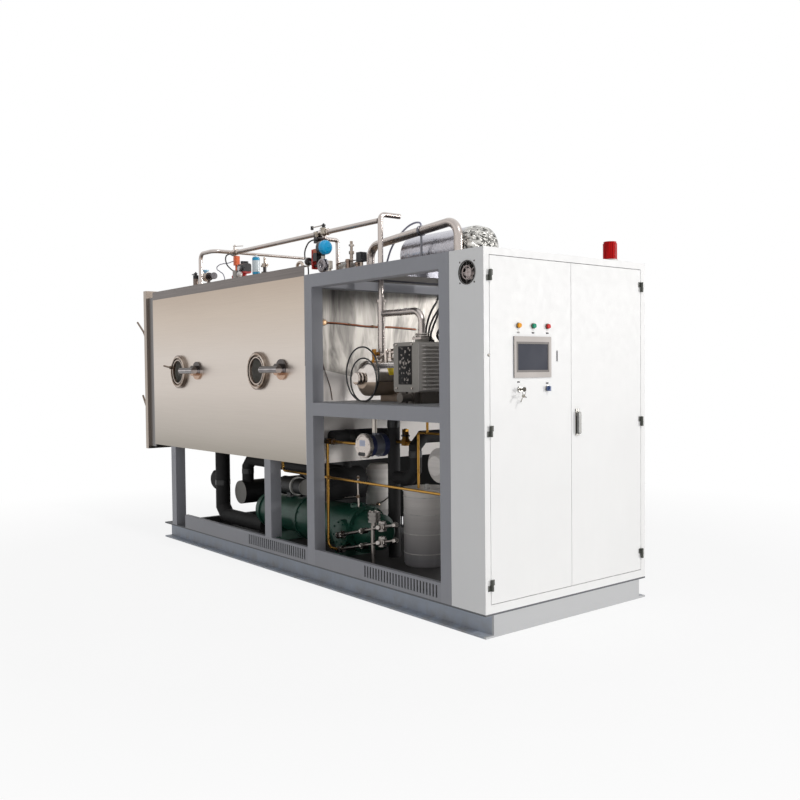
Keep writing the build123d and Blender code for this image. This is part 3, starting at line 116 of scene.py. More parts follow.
class Nodes:
    """The node tree of a material or a world, emptied, with its output."""

    def __init__(self, owner, output):
        owner.use_nodes = True
        self.tree = owner.node_tree
        self.tree.nodes.clear()
        self.output = self.tree.nodes.new(output)

    def node(self, kind, settings=None, inputs=None, output=0):
        """Adds a node, applies its settings, then its values and links, and returns one of its outputs."""
        node = self.tree.nodes.new(kind)
        for key, value in (settings or {}).items():
            if key == "stops":
                ramp = node.color_ramp
                while len(ramp.elements) < len(value):
                    ramp.elements.new(0.5)
                for element, (place, colour) in zip(ramp.elements, value):
                    element.position = place
                    element.color = colour
            else:
                setattr(node, key, value)
        for key, value in (inputs or {}).items():
            self.feed(node.inputs[key], value)
        return Value(self, node.outputs[output])

    def feed(self, socket, value):
        """Links a value into a socket, or sets the socket to a constant."""
        if isinstance(value, Value):
            value = value.socket
        if isinstance(value, bpy.types.NodeSocket):
            self.tree.links.new(value, socket)
        else:
            socket.default_value = value

    def rays(self):
        """Which rays are camera, glossy and transmission rays."""
        path = self.tree.nodes.new("ShaderNodeLightPath")
        return [Value(self, path.outputs[f"Is {kind} Ray"]) for kind in ("Camera", "Glossy", "Transmission")]


class Finish(Nodes):
    """One material and its node tree."""

    def __init__(self, name, rough=0.5, metal=0.0, coat=0.0):
        self.material = bpy.data.materials.new(name)
        super().__init__(self.material, "ShaderNodeOutputMaterial")
        self.shader = self.tree.nodes.new("ShaderNodeBsdfPrincipled")
        self.tree.links.new(self.shader.outputs[0], self.output.inputs["Surface"])
        self.set("Roughness", rough)
        self.set("Metallic", metal)
        self.set("Coat Weight", coat)
        coords = self.tree.nodes.new("ShaderNodeTexCoord")
        self.place = Value(self, coords.outputs["Object"])
        self.way = Value(self, coords.outputs["Normal"])
        split = self.tree.nodes.new("ShaderNodeSeparateXYZ")
        self.tree.links.new(self.place.socket, split.inputs[0])
        self.x, self.y, self.z = (Value(self, out) for out in split.outputs)

    def set(self, socket, value):
        self.feed(self.shader.inputs[socket], value)

    def skin(self, colour=None, rough=None, metal=None, normal=None):
        """Sets what the shader shows, leaving out what is None."""
        for socket, value in (("Base Color", colour), ("Roughness", rough), ("Metallic", metal),
                              ("Normal", normal)):
            if value is not None:
                self.set(socket, value)
        return self

    def stretched(self, sx, sy, sz):
        """Object coordinates scaled by a different amount along each axis."""
        return self.node("ShaderNodeMapping", {}, {"Vector": self.place, "Scale": (sx, sy, sz)})

    def noise(self, scale, detail=3.0, rough=0.55, at=None, warp=0.0):
        return self.node(
            "ShaderNodeTexNoise", {},
            {"Vector": at or self.place, "Scale": scale, "Detail": detail, "Roughness": rough,
             "Distortion": warp},
        )

    def warped(self, scale, amount):
        """Object coordinates pushed about by a soft noise, so that a pattern loses its straight lines."""
        push = self.node("ShaderNodeTexNoise", {}, {"Vector": self.place, "Scale": scale, "Detail": 2.0},
                         output=1)
        push = self.node("ShaderNodeVectorMath", {"operation": "SCALE"}, {0: push, 3: amount})
        return self.node("ShaderNodeVectorMath", {"operation": "ADD"}, {0: self.place, 1: push})

    def cells(self, scale, at=None, feature="F1"):
        return self.node("ShaderNodeTexVoronoi", {"feature": feature},
                         {"Vector": at or self.place, "Scale": scale})

    def mix(self, share, first, second, blend="MIX"):
        """Blends two colours."""
        return self.node(
            "ShaderNodeMix", {"data_type": "RGBA", "blend_type": blend}, {0: share, 6: first, 7: second},
            output=2,
        )

    def bump(self, height, strength, distance, under=None):
        inputs = {"Height": height, "Strength": strength, "Distance": distance}
        if under is not None:
            inputs["Normal"] = under
        return self.node("ShaderNodeBump", {}, inputs)

    def facing(self, blur=0.12):
        """0 to 1 by which way the skin faces, for the painted reflection: low underneath and at the back, high
        towards the sky.
        """
        lean = self.node("ShaderNodeVectorMath", {"operation": "DOT_PRODUCT"},
                         {0: self.way, 1: TOWARDS_SKY}, output=1)
        return lean * 0.5 + 0.5 + (self.noise(26, 3) - 0.5) * blur

    def chrome(self, tone, painted_reflection_share):
        """Painted reflection on turned or polished metal: a painted dark band where its skin turns down past
        level, painted light above.
        """
        band = self.node("ShaderNodeValToRGB", {"stops": PAINTED_REFLECTION}, {0: self.facing()})
        return self.mix(painted_reflection_share, tone, self.darken(tone, band))

    def darken(self, tone, by):
        return self.mix(1.0, tone, by, "MULTIPLY")

    def zoned(self, colour, rough, metal, zones):
        """Colour, roughness and metalness of a base, changed inside each zone's box."""
        for limits, (zone_colour, zone_rough, zone_metal) in zones:
            mask = self.box_mask(**limits)
            colour = self.mix(mask, colour, zone_colour)
            rough = mask * (zone_rough - rough) + rough
            metal = mask * (zone_metal - metal) + metal
        return colour, rough, metal

    def box_mask(self, x=None, y=None, z=None):
        """1 inside the given ranges of position, 0 outside."""
        mask = None
        for axis, limits in ((self.x, x), (self.y, y), (self.z, z)):
            if limits is None:
                continue
            part = axis.between(*limits)
            mask = part if mask is None else mask * part
        return mask


def shade(colour, factor):
    return (*[channel * factor for channel in colour[:3]], 1.0)


def grey(factor):
    return (factor, factor, factor, 1.0)


# ---------------------------------------------------------------- colours
STEEL = paint(205, 200, 194)
PALE_STEEL = paint(222, 220, 216)
INK = (paint(26, 26, 29), 0.4, 0.0)                 # colour, roughness and metalness
DARK_METAL = (paint(62, 58, 58), 0.35, 0.7)
HINGE_BLACK = (paint(74, 76, 70), 0.45, 0.0)
# Painted reflection: colours painted on polished metal by which way its skin faces
PAINTED_REFLECTION = (                                      # what polished metal mirrors, from below to above
    (0.0, (0.34, 0.31, 0.29, 1)), (0.3, (0.2, 0.18, 0.17, 1)), (0.44, (0.1, 0.095, 0.1, 1)),
    (0.52, (0.5, 0.46, 0.44, 1)), (0.66, (0.92, 0.88, 0.86, 1)), (0.78, (0.62, 0.6, 0.6, 1)),
    (1.0, (1, 1, 1, 1)),
)


# ---------------------------------------------------------------- finishes
def coated(name, colour, rough=0.45, grain=900.0, depth=0.00008, dirt=None, dirt_low=0.12, patch=0.06,
           zones=()):
    """Sprayed or powder-coated sheet: fine grain, faint cloudiness and settled dust near the ground."""
    finish = Finish(name, rough)
    cloud = finish.noise(2.6, 4.0).ramp(0.3, 0.7)
    streak = finish.noise(9.0, 3.0, at=finish.stretched(4, 4, 0.5)).ramp(0.35, 0.75)
    tone = finish.mix(cloud, shade(colour, 1 - patch), shade(colour, 1 + patch * 0.5))
    tone = finish.mix(streak * 0.25, tone, shade(colour, 1 - 1.8 * patch))
    if dirt:
        low = (1 - finish.z.ramp(0.0, dirt_low)) * finish.noise(14, 5).ramp(0.35, 0.75)
        tone = finish.mix(low * 0.7, tone, dirt)
    tone, rough_value, metal = finish.zoned(tone, finish.noise(30, 2) * 0.16 + (rough - 0.08), 0.0, zones)
    return finish.skin(tone, rough_value, metal, finish.bump(finish.noise(grain, 2), 0.35, depth))


def brushed(name, colour, rough=0.32, along="x", tint=0.1, scratch=0.5):
    """Rolled or brushed stainless steel with its grain along one axis."""
    finish = Finish(name, rough, 1.0)
    wide = {"x": (0.35, 60, 60), "y": (60, 0.35, 60), "z": (60, 60, 0.35)}[along]
    fine = tuple(4 * part for part in wide)
    line = finish.noise(6, 4, 0.7, finish.stretched(*wide))
    thin = finish.noise(9, 3, 0.7, finish.stretched(*fine))
    cloud = finish.noise(1.7, 3).ramp(0.3, 0.7)
    tone = finish.mix(line.ramp(0.3, 0.7), shade(colour, 1 - tint), shade(colour, 1 + tint * 0.5))
    tone = finish.mix(cloud * 0.3, tone, shade(colour, 1 - tint))
    rough_value = thin * 0.18 + cloud * 0.06 + (rough - 0.12)
    return finish.skin(tone, rough_value, normal=finish.bump(thin, scratch * 0.3, 0.00006))


def bright(name, colour, rough=0.16, tint=0.08, painted_reflection_share=0.8, zones=()):
    """Polished or satin turned metal with a painted reflection, and light handling marks."""
    finish = Finish(name, rough, 1.0)
    smear = finish.noise(22, 4, warp=0.6).ramp(0.3, 0.75)
    tone = finish.mix(smear, shade(colour, 1 - tint), shade(colour, 1 + tint * 0.4))
    tone, rough_value, metal = finish.zoned(finish.chrome(tone, painted_reflection_share), smear * 0.14 + rough, 1.0, zones)
    return finish.skin(tone, rough_value, metal, finish.bump(finish.noise(700, 2), 0.15, 0.00005))


def cast(name, colour, rough=0.55, metal=0.0, grain=260.0):
    """A painted or bare casting, with a sandy skin and darker hollows."""
    finish = Finish(name, rough, metal)
    sand = finish.noise(grain, 4, 0.6)
    cloud = finish.noise(11, 4).ramp(0.3, 0.7)
    tone = finish.mix(cloud, shade(colour, 0.78), shade(colour, 1.12))
    tone = finish.mix(sand.ramp(0.55, 0.8) * 0.4, tone, shade(colour, 0.6))
    return finish.skin(tone, sand * 0.25 + (rough - 0.1), normal=finish.bump(sand, 0.5, 0.0006))


def moulded(name, colour, rough=0.38, coat=0.0, grain=1400.0):
    """Moulded plastic or rubber with a fine skin."""
    finish = Finish(name, rough, 0.0, coat)
    cloud = finish.noise(18, 3).ramp(0.3, 0.7)
    tone = finish.mix(cloud, shade(colour, 0.88), shade(colour, 1.06))
    rough_value = finish.noise(60, 2) * 0.14 + (rough - 0.07)
    return finish.skin(tone, rough_value, normal=finish.bump(finish.noise(grain, 2), 0.25, 0.00008))


def foam(name, colour, rough=0.75):
    """Closed-cell lagging: soft dents and a matt skin."""
    finish = Finish(name, rough)
    dents = finish.noise(16, 4, 0.6, warp=0.4)
    skin = finish.noise(420, 3)
    tone = finish.mix(dents.ramp(0.3, 0.7), shade(colour, 0.75), shade(colour, 1.2))
    tone = finish.mix(skin.ramp(0.6, 0.8) * 0.3, tone, shade(colour, 1.6))
    return finish.skin(tone, normal=finish.bump(skin, 0.4, 0.0005, finish.bump(dents, 0.6, 0.006)))


def foiled(name, colour, gathered):
    """Aluminium foil wrapped by hand: smooth along the tank, gathered in sharp folds past a place along X, with
    a painted reflection and folds painted in light and shade.
    """
    finish = Finish(name, 0.3, 1.0)
    fold = finish.cells(22, finish.warped(9, 0.06), "DISTANCE_TO_EDGE").ramp(0.0, 0.2)
    crease = finish.noise(40, 5, 0.7, warp=1.2)
    end = finish.x.ramp(gathered - 0.03, gathered + 0.02)
    tone = finish.mix(crease.ramp(0.3, 0.7), shade(colour, 0.92), shade(colour, 1.06))
    tone = finish.chrome(tone, 0.55)
    sharp = finish.noise(20, 3, 0.6, finish.stretched(0.6, 1.0, 1.5), 1.6)
    # The gathered folds are painted dark and light: painted shade and highlights on the creases.
    folds = finish.mix(sharp.ramp(0.38, 0.58), paint(74, 74, 71), paint(224, 222, 217))
    wide = finish.bump(fold * (end * 0.7 + 0.12), 0.9, 0.006)
    fine = finish.bump(crease * (end * 0.5 + 0.15), 0.9, 0.004, wide)
    return finish.skin(finish.mix(end, tone, folds), crease * 0.3 + 0.14, normal=fine)


def assembly(name, base, zones=(), grain=500.0, depth=0.0001, cloud_scale=20.0, patch=0.12):
    """One node made of several materials: a base of (colour, roughness, metalness) and its zones."""
    finish = Finish(name)
    colour, rough_value, metal_value = finish.zoned(*base, zones)
    cloud = finish.noise(cloud_scale, 4).ramp(0.3, 0.7)
    wear = finish.noise(grain * 0.3, 3).ramp(0.5, 0.8)
    colour = finish.mix(cloud, colour, finish.darken(colour, grey(1 - patch)))
    colour = finish.mix(wear * 0.25, colour, finish.darken(colour, grey(0.7)))
    normal = finish.bump(finish.noise(grain, 3), 0.35, depth)
    return finish.skin(colour, rough_value + cloud * 0.08, metal_value, normal)


def zone(colour, rough=0.4, metal=0.0, **limits):
    """A part of a piece with a material of its own, inside a box of positions."""
    return limits, (colour, rough, metal)


def around(centre, reach):
    """The range of positions within a distance of a centre."""
    return centre - reach, centre + reach


def door_face():
    """Where the cabinet doors' outer face is, along X."""
    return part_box("touch_panel")[1].x - PANEL_PROUD


def dress(finish, *nodes):
    """Gives CAD nodes a finish."""
    for node in nodes:
        for slot in MACHINE[node].material_slots:
            slot.material = finish.material


# ---------------------------------------------------------------- shape tools
def towards(origin, axis):
    """A transform that puts +Z on to a direction, at a place."""
    turn = Vector(Z).rotation_difference(Vector(axis)).to_matrix().to_4x4()
    return Matrix.Translation(origin) @ turn


class Shape:
    """A piece in the making: shapes are added to one mesh, and finished() makes it an object."""

    def __init__(self, name):
        self.name = name
        self.bm = bmesh.new()

    def bar(self, start, end, radius, end_radius=None, sides=20, edge=0.0):
        """A round bar or cone between two points, its rims eased."""
        start, end = Vector(start), Vector(end)
        way = end - start
        made = bmesh.ops.create_cone(
            self.bm, cap_ends=True, segments=sides, radius1=radius,
            radius2=radius if end_radius is None else end_radius,
            depth=way.length, matrix=towards((start + end) / 2, way),
        )
        if edge:
            lines = {line for vert in made["verts"] for line in vert.link_edges}
            self.ease({line for line in lines if any(len(face.verts) != 4 for face in line.link_faces)}, edge)

    def ease(self, edges, width):
        bmesh.ops.bevel(
            self.bm, geom=list(edges), offset=width, affect="EDGES", segments=2, profile=0.5, material=-1,
        )

    def block(self, low, high, edge=0.0):
        """A block between two corners, its edges eased."""
        low, high = Vector(low), Vector(high)
        self.cube(Matrix.Translation((low + high) / 2) @ Matrix.Diagonal((*(high - low), 1.0)), edge)

    def cube(self, place, edge):
        made = bmesh.ops.create_cube(self.bm, size=1.0, matrix=place)
        if edge:
            self.ease({line for vert in made["verts"] for line in vert.link_edges}, edge)

    def plate(self, start, end, width, thick, edge=0.0):
        """A flat strip between two points, its flat side facing along X."""
        start, end = Vector(start), Vector(end)
        way = end - start
        self.cube(towards((start + end) / 2, way) @ Matrix.Diagonal((thick, width, way.length, 1.0)), edge)

    def turned(self, outline, origin, axis, sides=32):
        """A turned shape: its outline is a list of (place along the axis, radius)."""
        base = towards(origin, axis)
        verts = [self.bm.verts.new(base @ Vector((radius, 0, place))) for place, radius in outline]
        edges = [self.bm.edges.new(pair) for pair in zip(verts, verts[1:])]
        bmesh.ops.spin(
            self.bm, geom=verts + edges, cent=base.translation, axis=Vector(axis).normalized(),
            angle=2 * math.pi, steps=sides, use_merge=True,
        )

    def solid(self, outline, place, axis, sides=24):
        """A turned shape closed on its axis at both ends of its outline."""
        self.turned([(outline[0][0], 0), *outline, (outline[-1][0], 0)], place, axis, sides)

    def hexagon(self, place, axis, across, height):
        """A bolt head or nut, its top rim eased."""
        corner = across * 0.577
        self.solid([(0, corner), (height * 0.75, corner), (height, corner * 0.87)], place, axis, 6)

    def ring(self, outline, place, axis, sides=32):
        """A turned ring: its outline is closed back to its first point."""
        self.turned([*outline, outline[0]], place, axis, sides)

    def collar(self, place, axis, inner, outer, height):
        """A clamp ring, its outer rims eased."""
        rim, proud = 0.003, outer + 0.002
        self.ring([(0, inner), (0, outer), (rim, proud), (height - rim, proud), (height, outer),
                   (height, inner)], place, axis)

    def nuts(self, *rows):
        """Bolt heads or nuts, each given as (place, axis, across, height)."""
        for row in rows:
            self.hexagon(*row)

    def bolts(self, centre, axis, radius, count, across, height, start=0.0):
        """Bolt heads evenly round a circle."""
        base = towards(centre, axis)
        for i in range(count):
            angle = start + i * 2 * math.pi / count
            place = base @ Vector((radius * math.cos(angle), radius * math.sin(angle), 0))
            self.hexagon(place, axis, across, height)

    def finished(self, finish, body="machine", replaces=(), crease=35):
        """Closes the mesh and gives it its finish and its body."""
        bmesh.ops.remove_doubles(self.bm, verts=self.bm.verts, dist=0.00002)
        bmesh.ops.dissolve_degenerate(self.bm, edges=self.bm.edges, dist=0.00001)
        bmesh.ops.recalc_face_normals(self.bm, faces=self.bm.faces)
        mesh = bpy.data.meshes.new(self.name)
        self.bm.to_mesh(mesh)
        self.bm.free()
        return place_piece(self.name, mesh, finish, body, replaces, crease)


def place_piece(name, mesh, finish, body, replaces, crease):
    mesh.materials.append(finish.material)
    mesh.polygons.foreach_set("use_smooth", [True] * len(mesh.polygons))
    mesh.set_sharp_from_angle(angle=math.radians(crease))
    piece = bpy.data.objects.new(name, mesh)
    bpy.context.scene.collection.objects.link(piece)
    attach(piece, body)
    if replaces:
        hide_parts(*replaces)
    return piece


def tubes(name, runs, finish, body="machine", replaces=(), closed=False):
    """Smooth hoses, cables or pipes: each run is (radius, points), with a smooth bend through its points."""
    curve = bpy.data.curves.new(name, "CURVE")
    curve.dimensions = "3D"
    curve.bevel_depth = 1.0
    curve.bevel_resolution = 3
    curve.resolution_u = 8
    curve.use_fill_caps = True
    for radius, points in runs:
        line = curve.splines.new("BEZIER")
        line.use_cyclic_u = closed
        line.bezier_points.add(len(points) - 1)
        for knot, point in zip(line.bezier_points, points):
            knot.co = point
            knot.radius = radius
            knot.handle_left_type = knot.handle_right_type = "AUTO"
    draft = bpy.data.objects.new(name + "_draft", curve)
    bpy.context.scene.collection.objects.link(draft)
    mesh = bpy.data.meshes.new_from_object(draft.evaluated_get(bpy.context.evaluated_depsgraph_get()))
    bpy.data.objects.remove(draft)
    bpy.data.curves.remove(curve)
    mesh.materials.clear()
    return place_piece(name, mesh, finish, body, replaces, 50)


# ---------------------------------------------------------------- settings
def colour_setting(name, description, default):
    return FloatVectorProperty(name=name, description=description, subtype="COLOR", size=4, default=default)


class FrameSettings(bpy.types.PropertyGroup):
    frame_colour: colour_setting("Frame colour", "Paint of the posts and beams", paint(160, 161, 167))
    skid_colour: colour_setting("Skid colour", "Paint of the skid beams", paint(180, 188, 200))


class CabinetSettings(bpy.types.PropertyGroup):
    panel_colour: colour_setting("Cabinet colour", "Powder coat of the control cabinet", paint(247, 247, 246))
    knob_colour: colour_setting("Selector colour", "Moulded selector knob", paint(78, 100, 146))


class ChamberSettings(bpy.types.PropertyGroup):
    steel_colour: colour_setting("Cladding colour", "Rolled stainless cladding of the chamber",
                                 paint(213, 203, 194))


# ---------------------------------------------------------------- operators
class DRYER_OT_frame(bpy.types.Operator):
    """Paints the skid, the posts and beams, the louvred panels and the decks"""
    bl_idname = "dryer.frame"
    bl_label = "Frame and skid"

    def execute(self, context):
        settings = context.scene.dryer_frame
        dust = paint(150, 140, 125)
        grey_paint = tuple(settings.frame_colour)
        frame_paint = coated("frame_paint", grey_paint, 0.5, 600, 0.0001, dust, 0.16)
        # The band at the top of the skid is painted dark as a painted shadow, and the front face below it is
        # painted lighter as painted sunlight.
        skid_paint = coated("skid_paint", tuple(settings.skid_colour), 0.5, 500, 0.00012, dust, 0.1, 0.1,
                            zones=[zone(paint(98, 100, 104), 0.6, z=(0.1105, 0.13)),
                                   zone(paint(196, 197, 198), 0.45, x=(1.835, 2.0), z=(0.0, 0.1105))])
        pan = [zone(paint(58, 56, 56), 0.6, z=(-0.1, 0.3))]
        deck_dust = paint(90, 84, 78)
        deck_paint = coated("deck_paint", paint(150, 150, 152), 0.5, 500, 0.0001, deck_dust, 0.3, 0.12, pan)
        # The far louvre panels under the chamber are painted near-black: painted shade behind the machinery.
        black = [zone(paint(14, 14, 15), 0.6, y=(0.3, 0.561), z=(0.2, 0.75), x=(-2, 0.25))]
        dress(frame_paint, "frame_posts", "frame_beams")
        louvre = coated("louvre_paint", shade(grey_paint, 0.9), 0.5, 600, 0.0001, dust, 0.16, zones=black)
        dress(louvre, "louvre_panels")
        dress(skid_paint, "skid_beams", "skid_cross_members")
        dress(deck_paint, "deck_plates")
        return {"FINISHED"}


class DRYER_OT_chamber(bpy.types.Operator):
    """Finishes the chamber, its cladding, door, shelves, sight glasses and clamp levers"""
    bl_idname = "dryer.chamber"
    bl_label = "Chamber"

    def execute(self, context):
        settings = context.scene.dryer_chamber
        steel = tuple(settings.steel_colour)
        low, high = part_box("chamber_cladding")
        cladding = Finish("rolled_cladding", 0.34, 1.0)
        line = cladding.noise(5, 4, 0.7, cladding.stretched(0.5, 0.5, 90))
        end_line = cladding.noise(5, 4, 0.7, cladding.stretched(40, 40, 0.4))
        end = cladding.x > high.x - 0.004
        grain = end * (end_line - line) + line
        # The end wall below a sloping line is painted near-white and less metallic: a painted sunlit patch, its
        # sloping edge a painted shadow edge.
        painted_sunlit_wall = end * (cladding.z < 1.302 - (cladding.y + 0.36) * 0.2)
        # The cladding is painted darker towards the bottom and lighter high up: a painted sheen and shade.
        ramp = cladding.node(
            "ShaderNodeValToRGB",
            {"stops": [
                (0.0, paint(160, 153, 143)), (0.12, paint(182, 174, 165)), (0.4, shade(steel, 0.97)),
                (0.6, steel), (0.85, paint(203, 189, 175)), (1.0, paint(190, 174, 159)),
            ]},
            {0: cladding.z.ramp(low.z, high.z)},
        )
        tone = cladding.mix(grain.ramp(0.35, 0.7) * 0.5, ramp, cladding.darken(ramp, grey(0.9)))
        # The upper end wall's dark and light streaks are painted reflections and painted shadows.
        streak = cladding.noise(2.2, 4, 0.6, cladding.stretched(1, 2.6, 0.8), 1.4)
        wall = cladding.mix(
            end_line.ramp(0.3, 0.7) * 0.6,
            cladding.mix(streak.ramp(0.36, 0.6), paint(72, 69, 66), paint(182, 177, 170)),
            paint(134, 130, 125),
        )
        tone = cladding.mix(end, tone, cladding.mix(painted_sunlit_wall, wall, paint(250, 244, 238)))
        rough = grain * 0.16 + cladding.noise(1.4, 3) * 0.08 + 0.24
        waves = cladding.bump(cladding.noise(0.9, 2), 0.25, 0.004, cladding.bump(grain, 0.12, 0.00006))
        cladding.skin(tone, rough, 1 - end * 0.5 - painted_sunlit_wall * 0.48, waves)
        dress(cladding, "chamber_cladding")
        dress(brushed("chamber_inner", PALE_STEEL, 0.3, "x"), "chamber_vessel", "shelf_stack")
        dress(brushed("flange_steel", paint(122, 120, 120), 0.34, "z"), "chamber_flange")
        dress(brushed("door_steel", paint(166, 154, 143), 0.3, "z"), "chamber_door")
        dress(brushed("rail_steel", paint(124, 117, 114), 0.34, "x", 0.3), "roof_edge_rails")
        dress(moulded("seal_rubber", paint(96, 94, 92), 0.6), "door_seal")
        rings = Finish("polished_rings", 0.14, 1.0)
        low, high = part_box("sight_glass_rings")
        middle_z = (low.z + high.z) / 2
        span = 0.0
        for x in (low.x + SIGHT_RADIUS, high.x - SIGHT_RADIUS):
            away = ((rings.x - x) ** 2 + abs(rings.z - middle_z) ** 2) ** 0.5
            span = (away < 0.4) * away + span
        rims = span.between(0.0, 0.091) + span.between(0.1, 0.1045) + (span > 0.1195) * 0.6
        blotch = rings.noise(9, 3, warp=0.8).ramp(0.35, 0.65)
        tone = rings.mix(blotch, paint(150, 128, 110), paint(232, 222, 212))
        # The rings' tone also carries a painted reflection.
        tone = rings.mix(rims * 0.85, rings.chrome(tone, 0.7), paint(48, 44, 44))
        rings.skin(tone, rims * 0.2 + 0.14, normal=rings.bump(rings.noise(120, 3), 0.2, 0.0002))
        dress(rings, "sight_glass_rings")
        # The polished sight lamps are painted warm and light below the glass centre and dark above it: a
        # painted reflection.
        glow = [zone(paint(182, 150, 128), 0.2, 0.8, z=(middle_z - 0.2, middle_z - 0.014)),
                zone(paint(84, 78, 76), 0.24, 0.8, z=(middle_z + 0.012, middle_z + 0.2))]
        dress(bright("polished_steel", paint(214, 212, 214), 0.12, 0.3, 0.9, glow), "sight_lamps")
        levers = ("upper_clamp_lever", "lower_clamp_lever", "wiper_lever")
        dress(bright("lever_steel", paint(138, 124, 112), 0.24, 0.2), *levers)
        dress(bright("hinge_steel", paint(180, 176, 170), 0.26), "door_hinge_brackets", "door_hinge_leaves")
        glass = Finish("sight_glass", 0.05, 0.0, 0.6)
        haze = glass.noise(14, 3).ramp(0.4, 0.8)
        glass.skin(glass.mix(haze, paint(8, 10, 10), paint(52, 56, 52)), haze * 0.12 + 0.03)
        dress(glass, "sight_glass_panes")
        return {"FINISHED"}


class DRYER_OT_cabinet(bpy.types.Operator):
    """Finishes the control cabinet, its doors, hinges, handle, fan, beacon and controls"""
    bl_idname = "dryer.cabinet"
    bl_label = "Control cabinet"

    def execute(self, context):
        settings = context.scene.dryer_cabinet
        white = tuple(settings.panel_colour)
        coat = (white, 0.42, 1100, 0.00009, paint(205, 200, 192), 0.1, 0.02)
        dress(coated("cabinet_coat", *coat), "cabinet_panels")
        front = door_face()
        proud = (front + 0.0003, front + 0.1)
        polish = (paint(150, 148, 144), 0.24, 0.9)
        doors = coated("door_coat", *coat, zones=[
            zone(*HINGE_BLACK, x=proud, y=(-0.7, -0.578)), zone(*HINGE_BLACK, x=proud, y=(0.578, 0.7)),
            zone(*polish, x=proud, y=(0.02, 0.08)), zone(*polish, x=proud, y=(-0.45, -0.15)),
        ])
        dress(doors, "left_cabinet_door", "right_cabinet_door")
        dress(moulded("hinge_black", *HINGE_BLACK[:2]), "cabinet_hinges")
        face = front + PANEL_PROUD
        low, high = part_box("touch_panel")
        middle = (low + high) / 2
        border = {"x": (face - 0.0005, 3), "y": around(middle.y, 0.121), "z": around(middle.z, 0.077)}
        screen = assembly(
            "touch_panel", (paint(206, 199, 194), 0.35, 0.0),
            [(border, (paint(135, 130, 127), 0.3, 0.0)),
             zone(paint(48, 52, 66), 0.32, x=(face - 0.0055, face - 0.0005))], 900, 0.00005, 6, 0.06,
        )
        screen.set("Specular IOR Level", 0.1)
        dress(screen, "touch_panel")
        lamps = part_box("indicator_lamps")
        third = (lamps[1].y - lamps[0].y) / 3
        glow = [
            zone(colour, 0.42, x=(face - 0.0005, 3),
                 y=(lamps[0].y + i * third - 0.001, lamps[0].y + (i + 1) * third))
            for i, colour in enumerate((paint(255, 172, 20), paint(14, 158, 122), paint(224, 46, 44)))
        ]
        buttons = assembly("indicator_lamps", (paint(118, 106, 96), 0.35, 0.2), glow, 900, 0.00004)
        buttons.set("Specular IOR Level", 0.2)
        dress(buttons, "indicator_lamps")
        dress(cast("key_steel", paint(118, 114, 106), 0.3, 0.5), "key_switch")
        dress(moulded("selector_plastic", tuple(settings.knob_colour), 0.3, 0.4), "selector_knob")
        dress(cast("handle_metal", paint(150, 150, 148), 0.42, 0.7), "door_handle")
        low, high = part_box("fan_rotor")
        middle = (low + high) / 2
        inner = {"x": around(middle.x, 0.0345), "z": around(middle.z, 0.0345), "y": (-0.7, -0.634)}
        hub = [(inner, (paint(206, 190, 186), 0.4, 0.0))]
        dress(assembly("fan_frame", (paint(72, 68, 66), 0.45, 0.0), hub), "fan_frame")
        dress(assembly("fan_blades", (paint(92, 86, 84), 0.5, 0.0), [
            zone(paint(255, 242, 238), 0.5, x=around(middle.x, 0.037), z=around(middle.z, 0.037)),
        ]), "fan_rotor")
        dress(moulded("beacon_base", paint(228, 226, 222), 0.4), "beacon_base")
        lens = Finish("beacon_lens", 0.34)
        lens.set("Specular IOR Level", 0.12)
        ribs = lens.noise(3, 2, 0.5, lens.stretched(60, 60, 1))
        tone = lens.mix(ribs.ramp(0.35, 0.65), paint(150, 4, 8), paint(232, 26, 26))
        lens.skin(tone, normal=lens.bump(ribs, 0.5, 0.002))
        dress(lens, "beacon_lens")
        return {"FINISHED"}


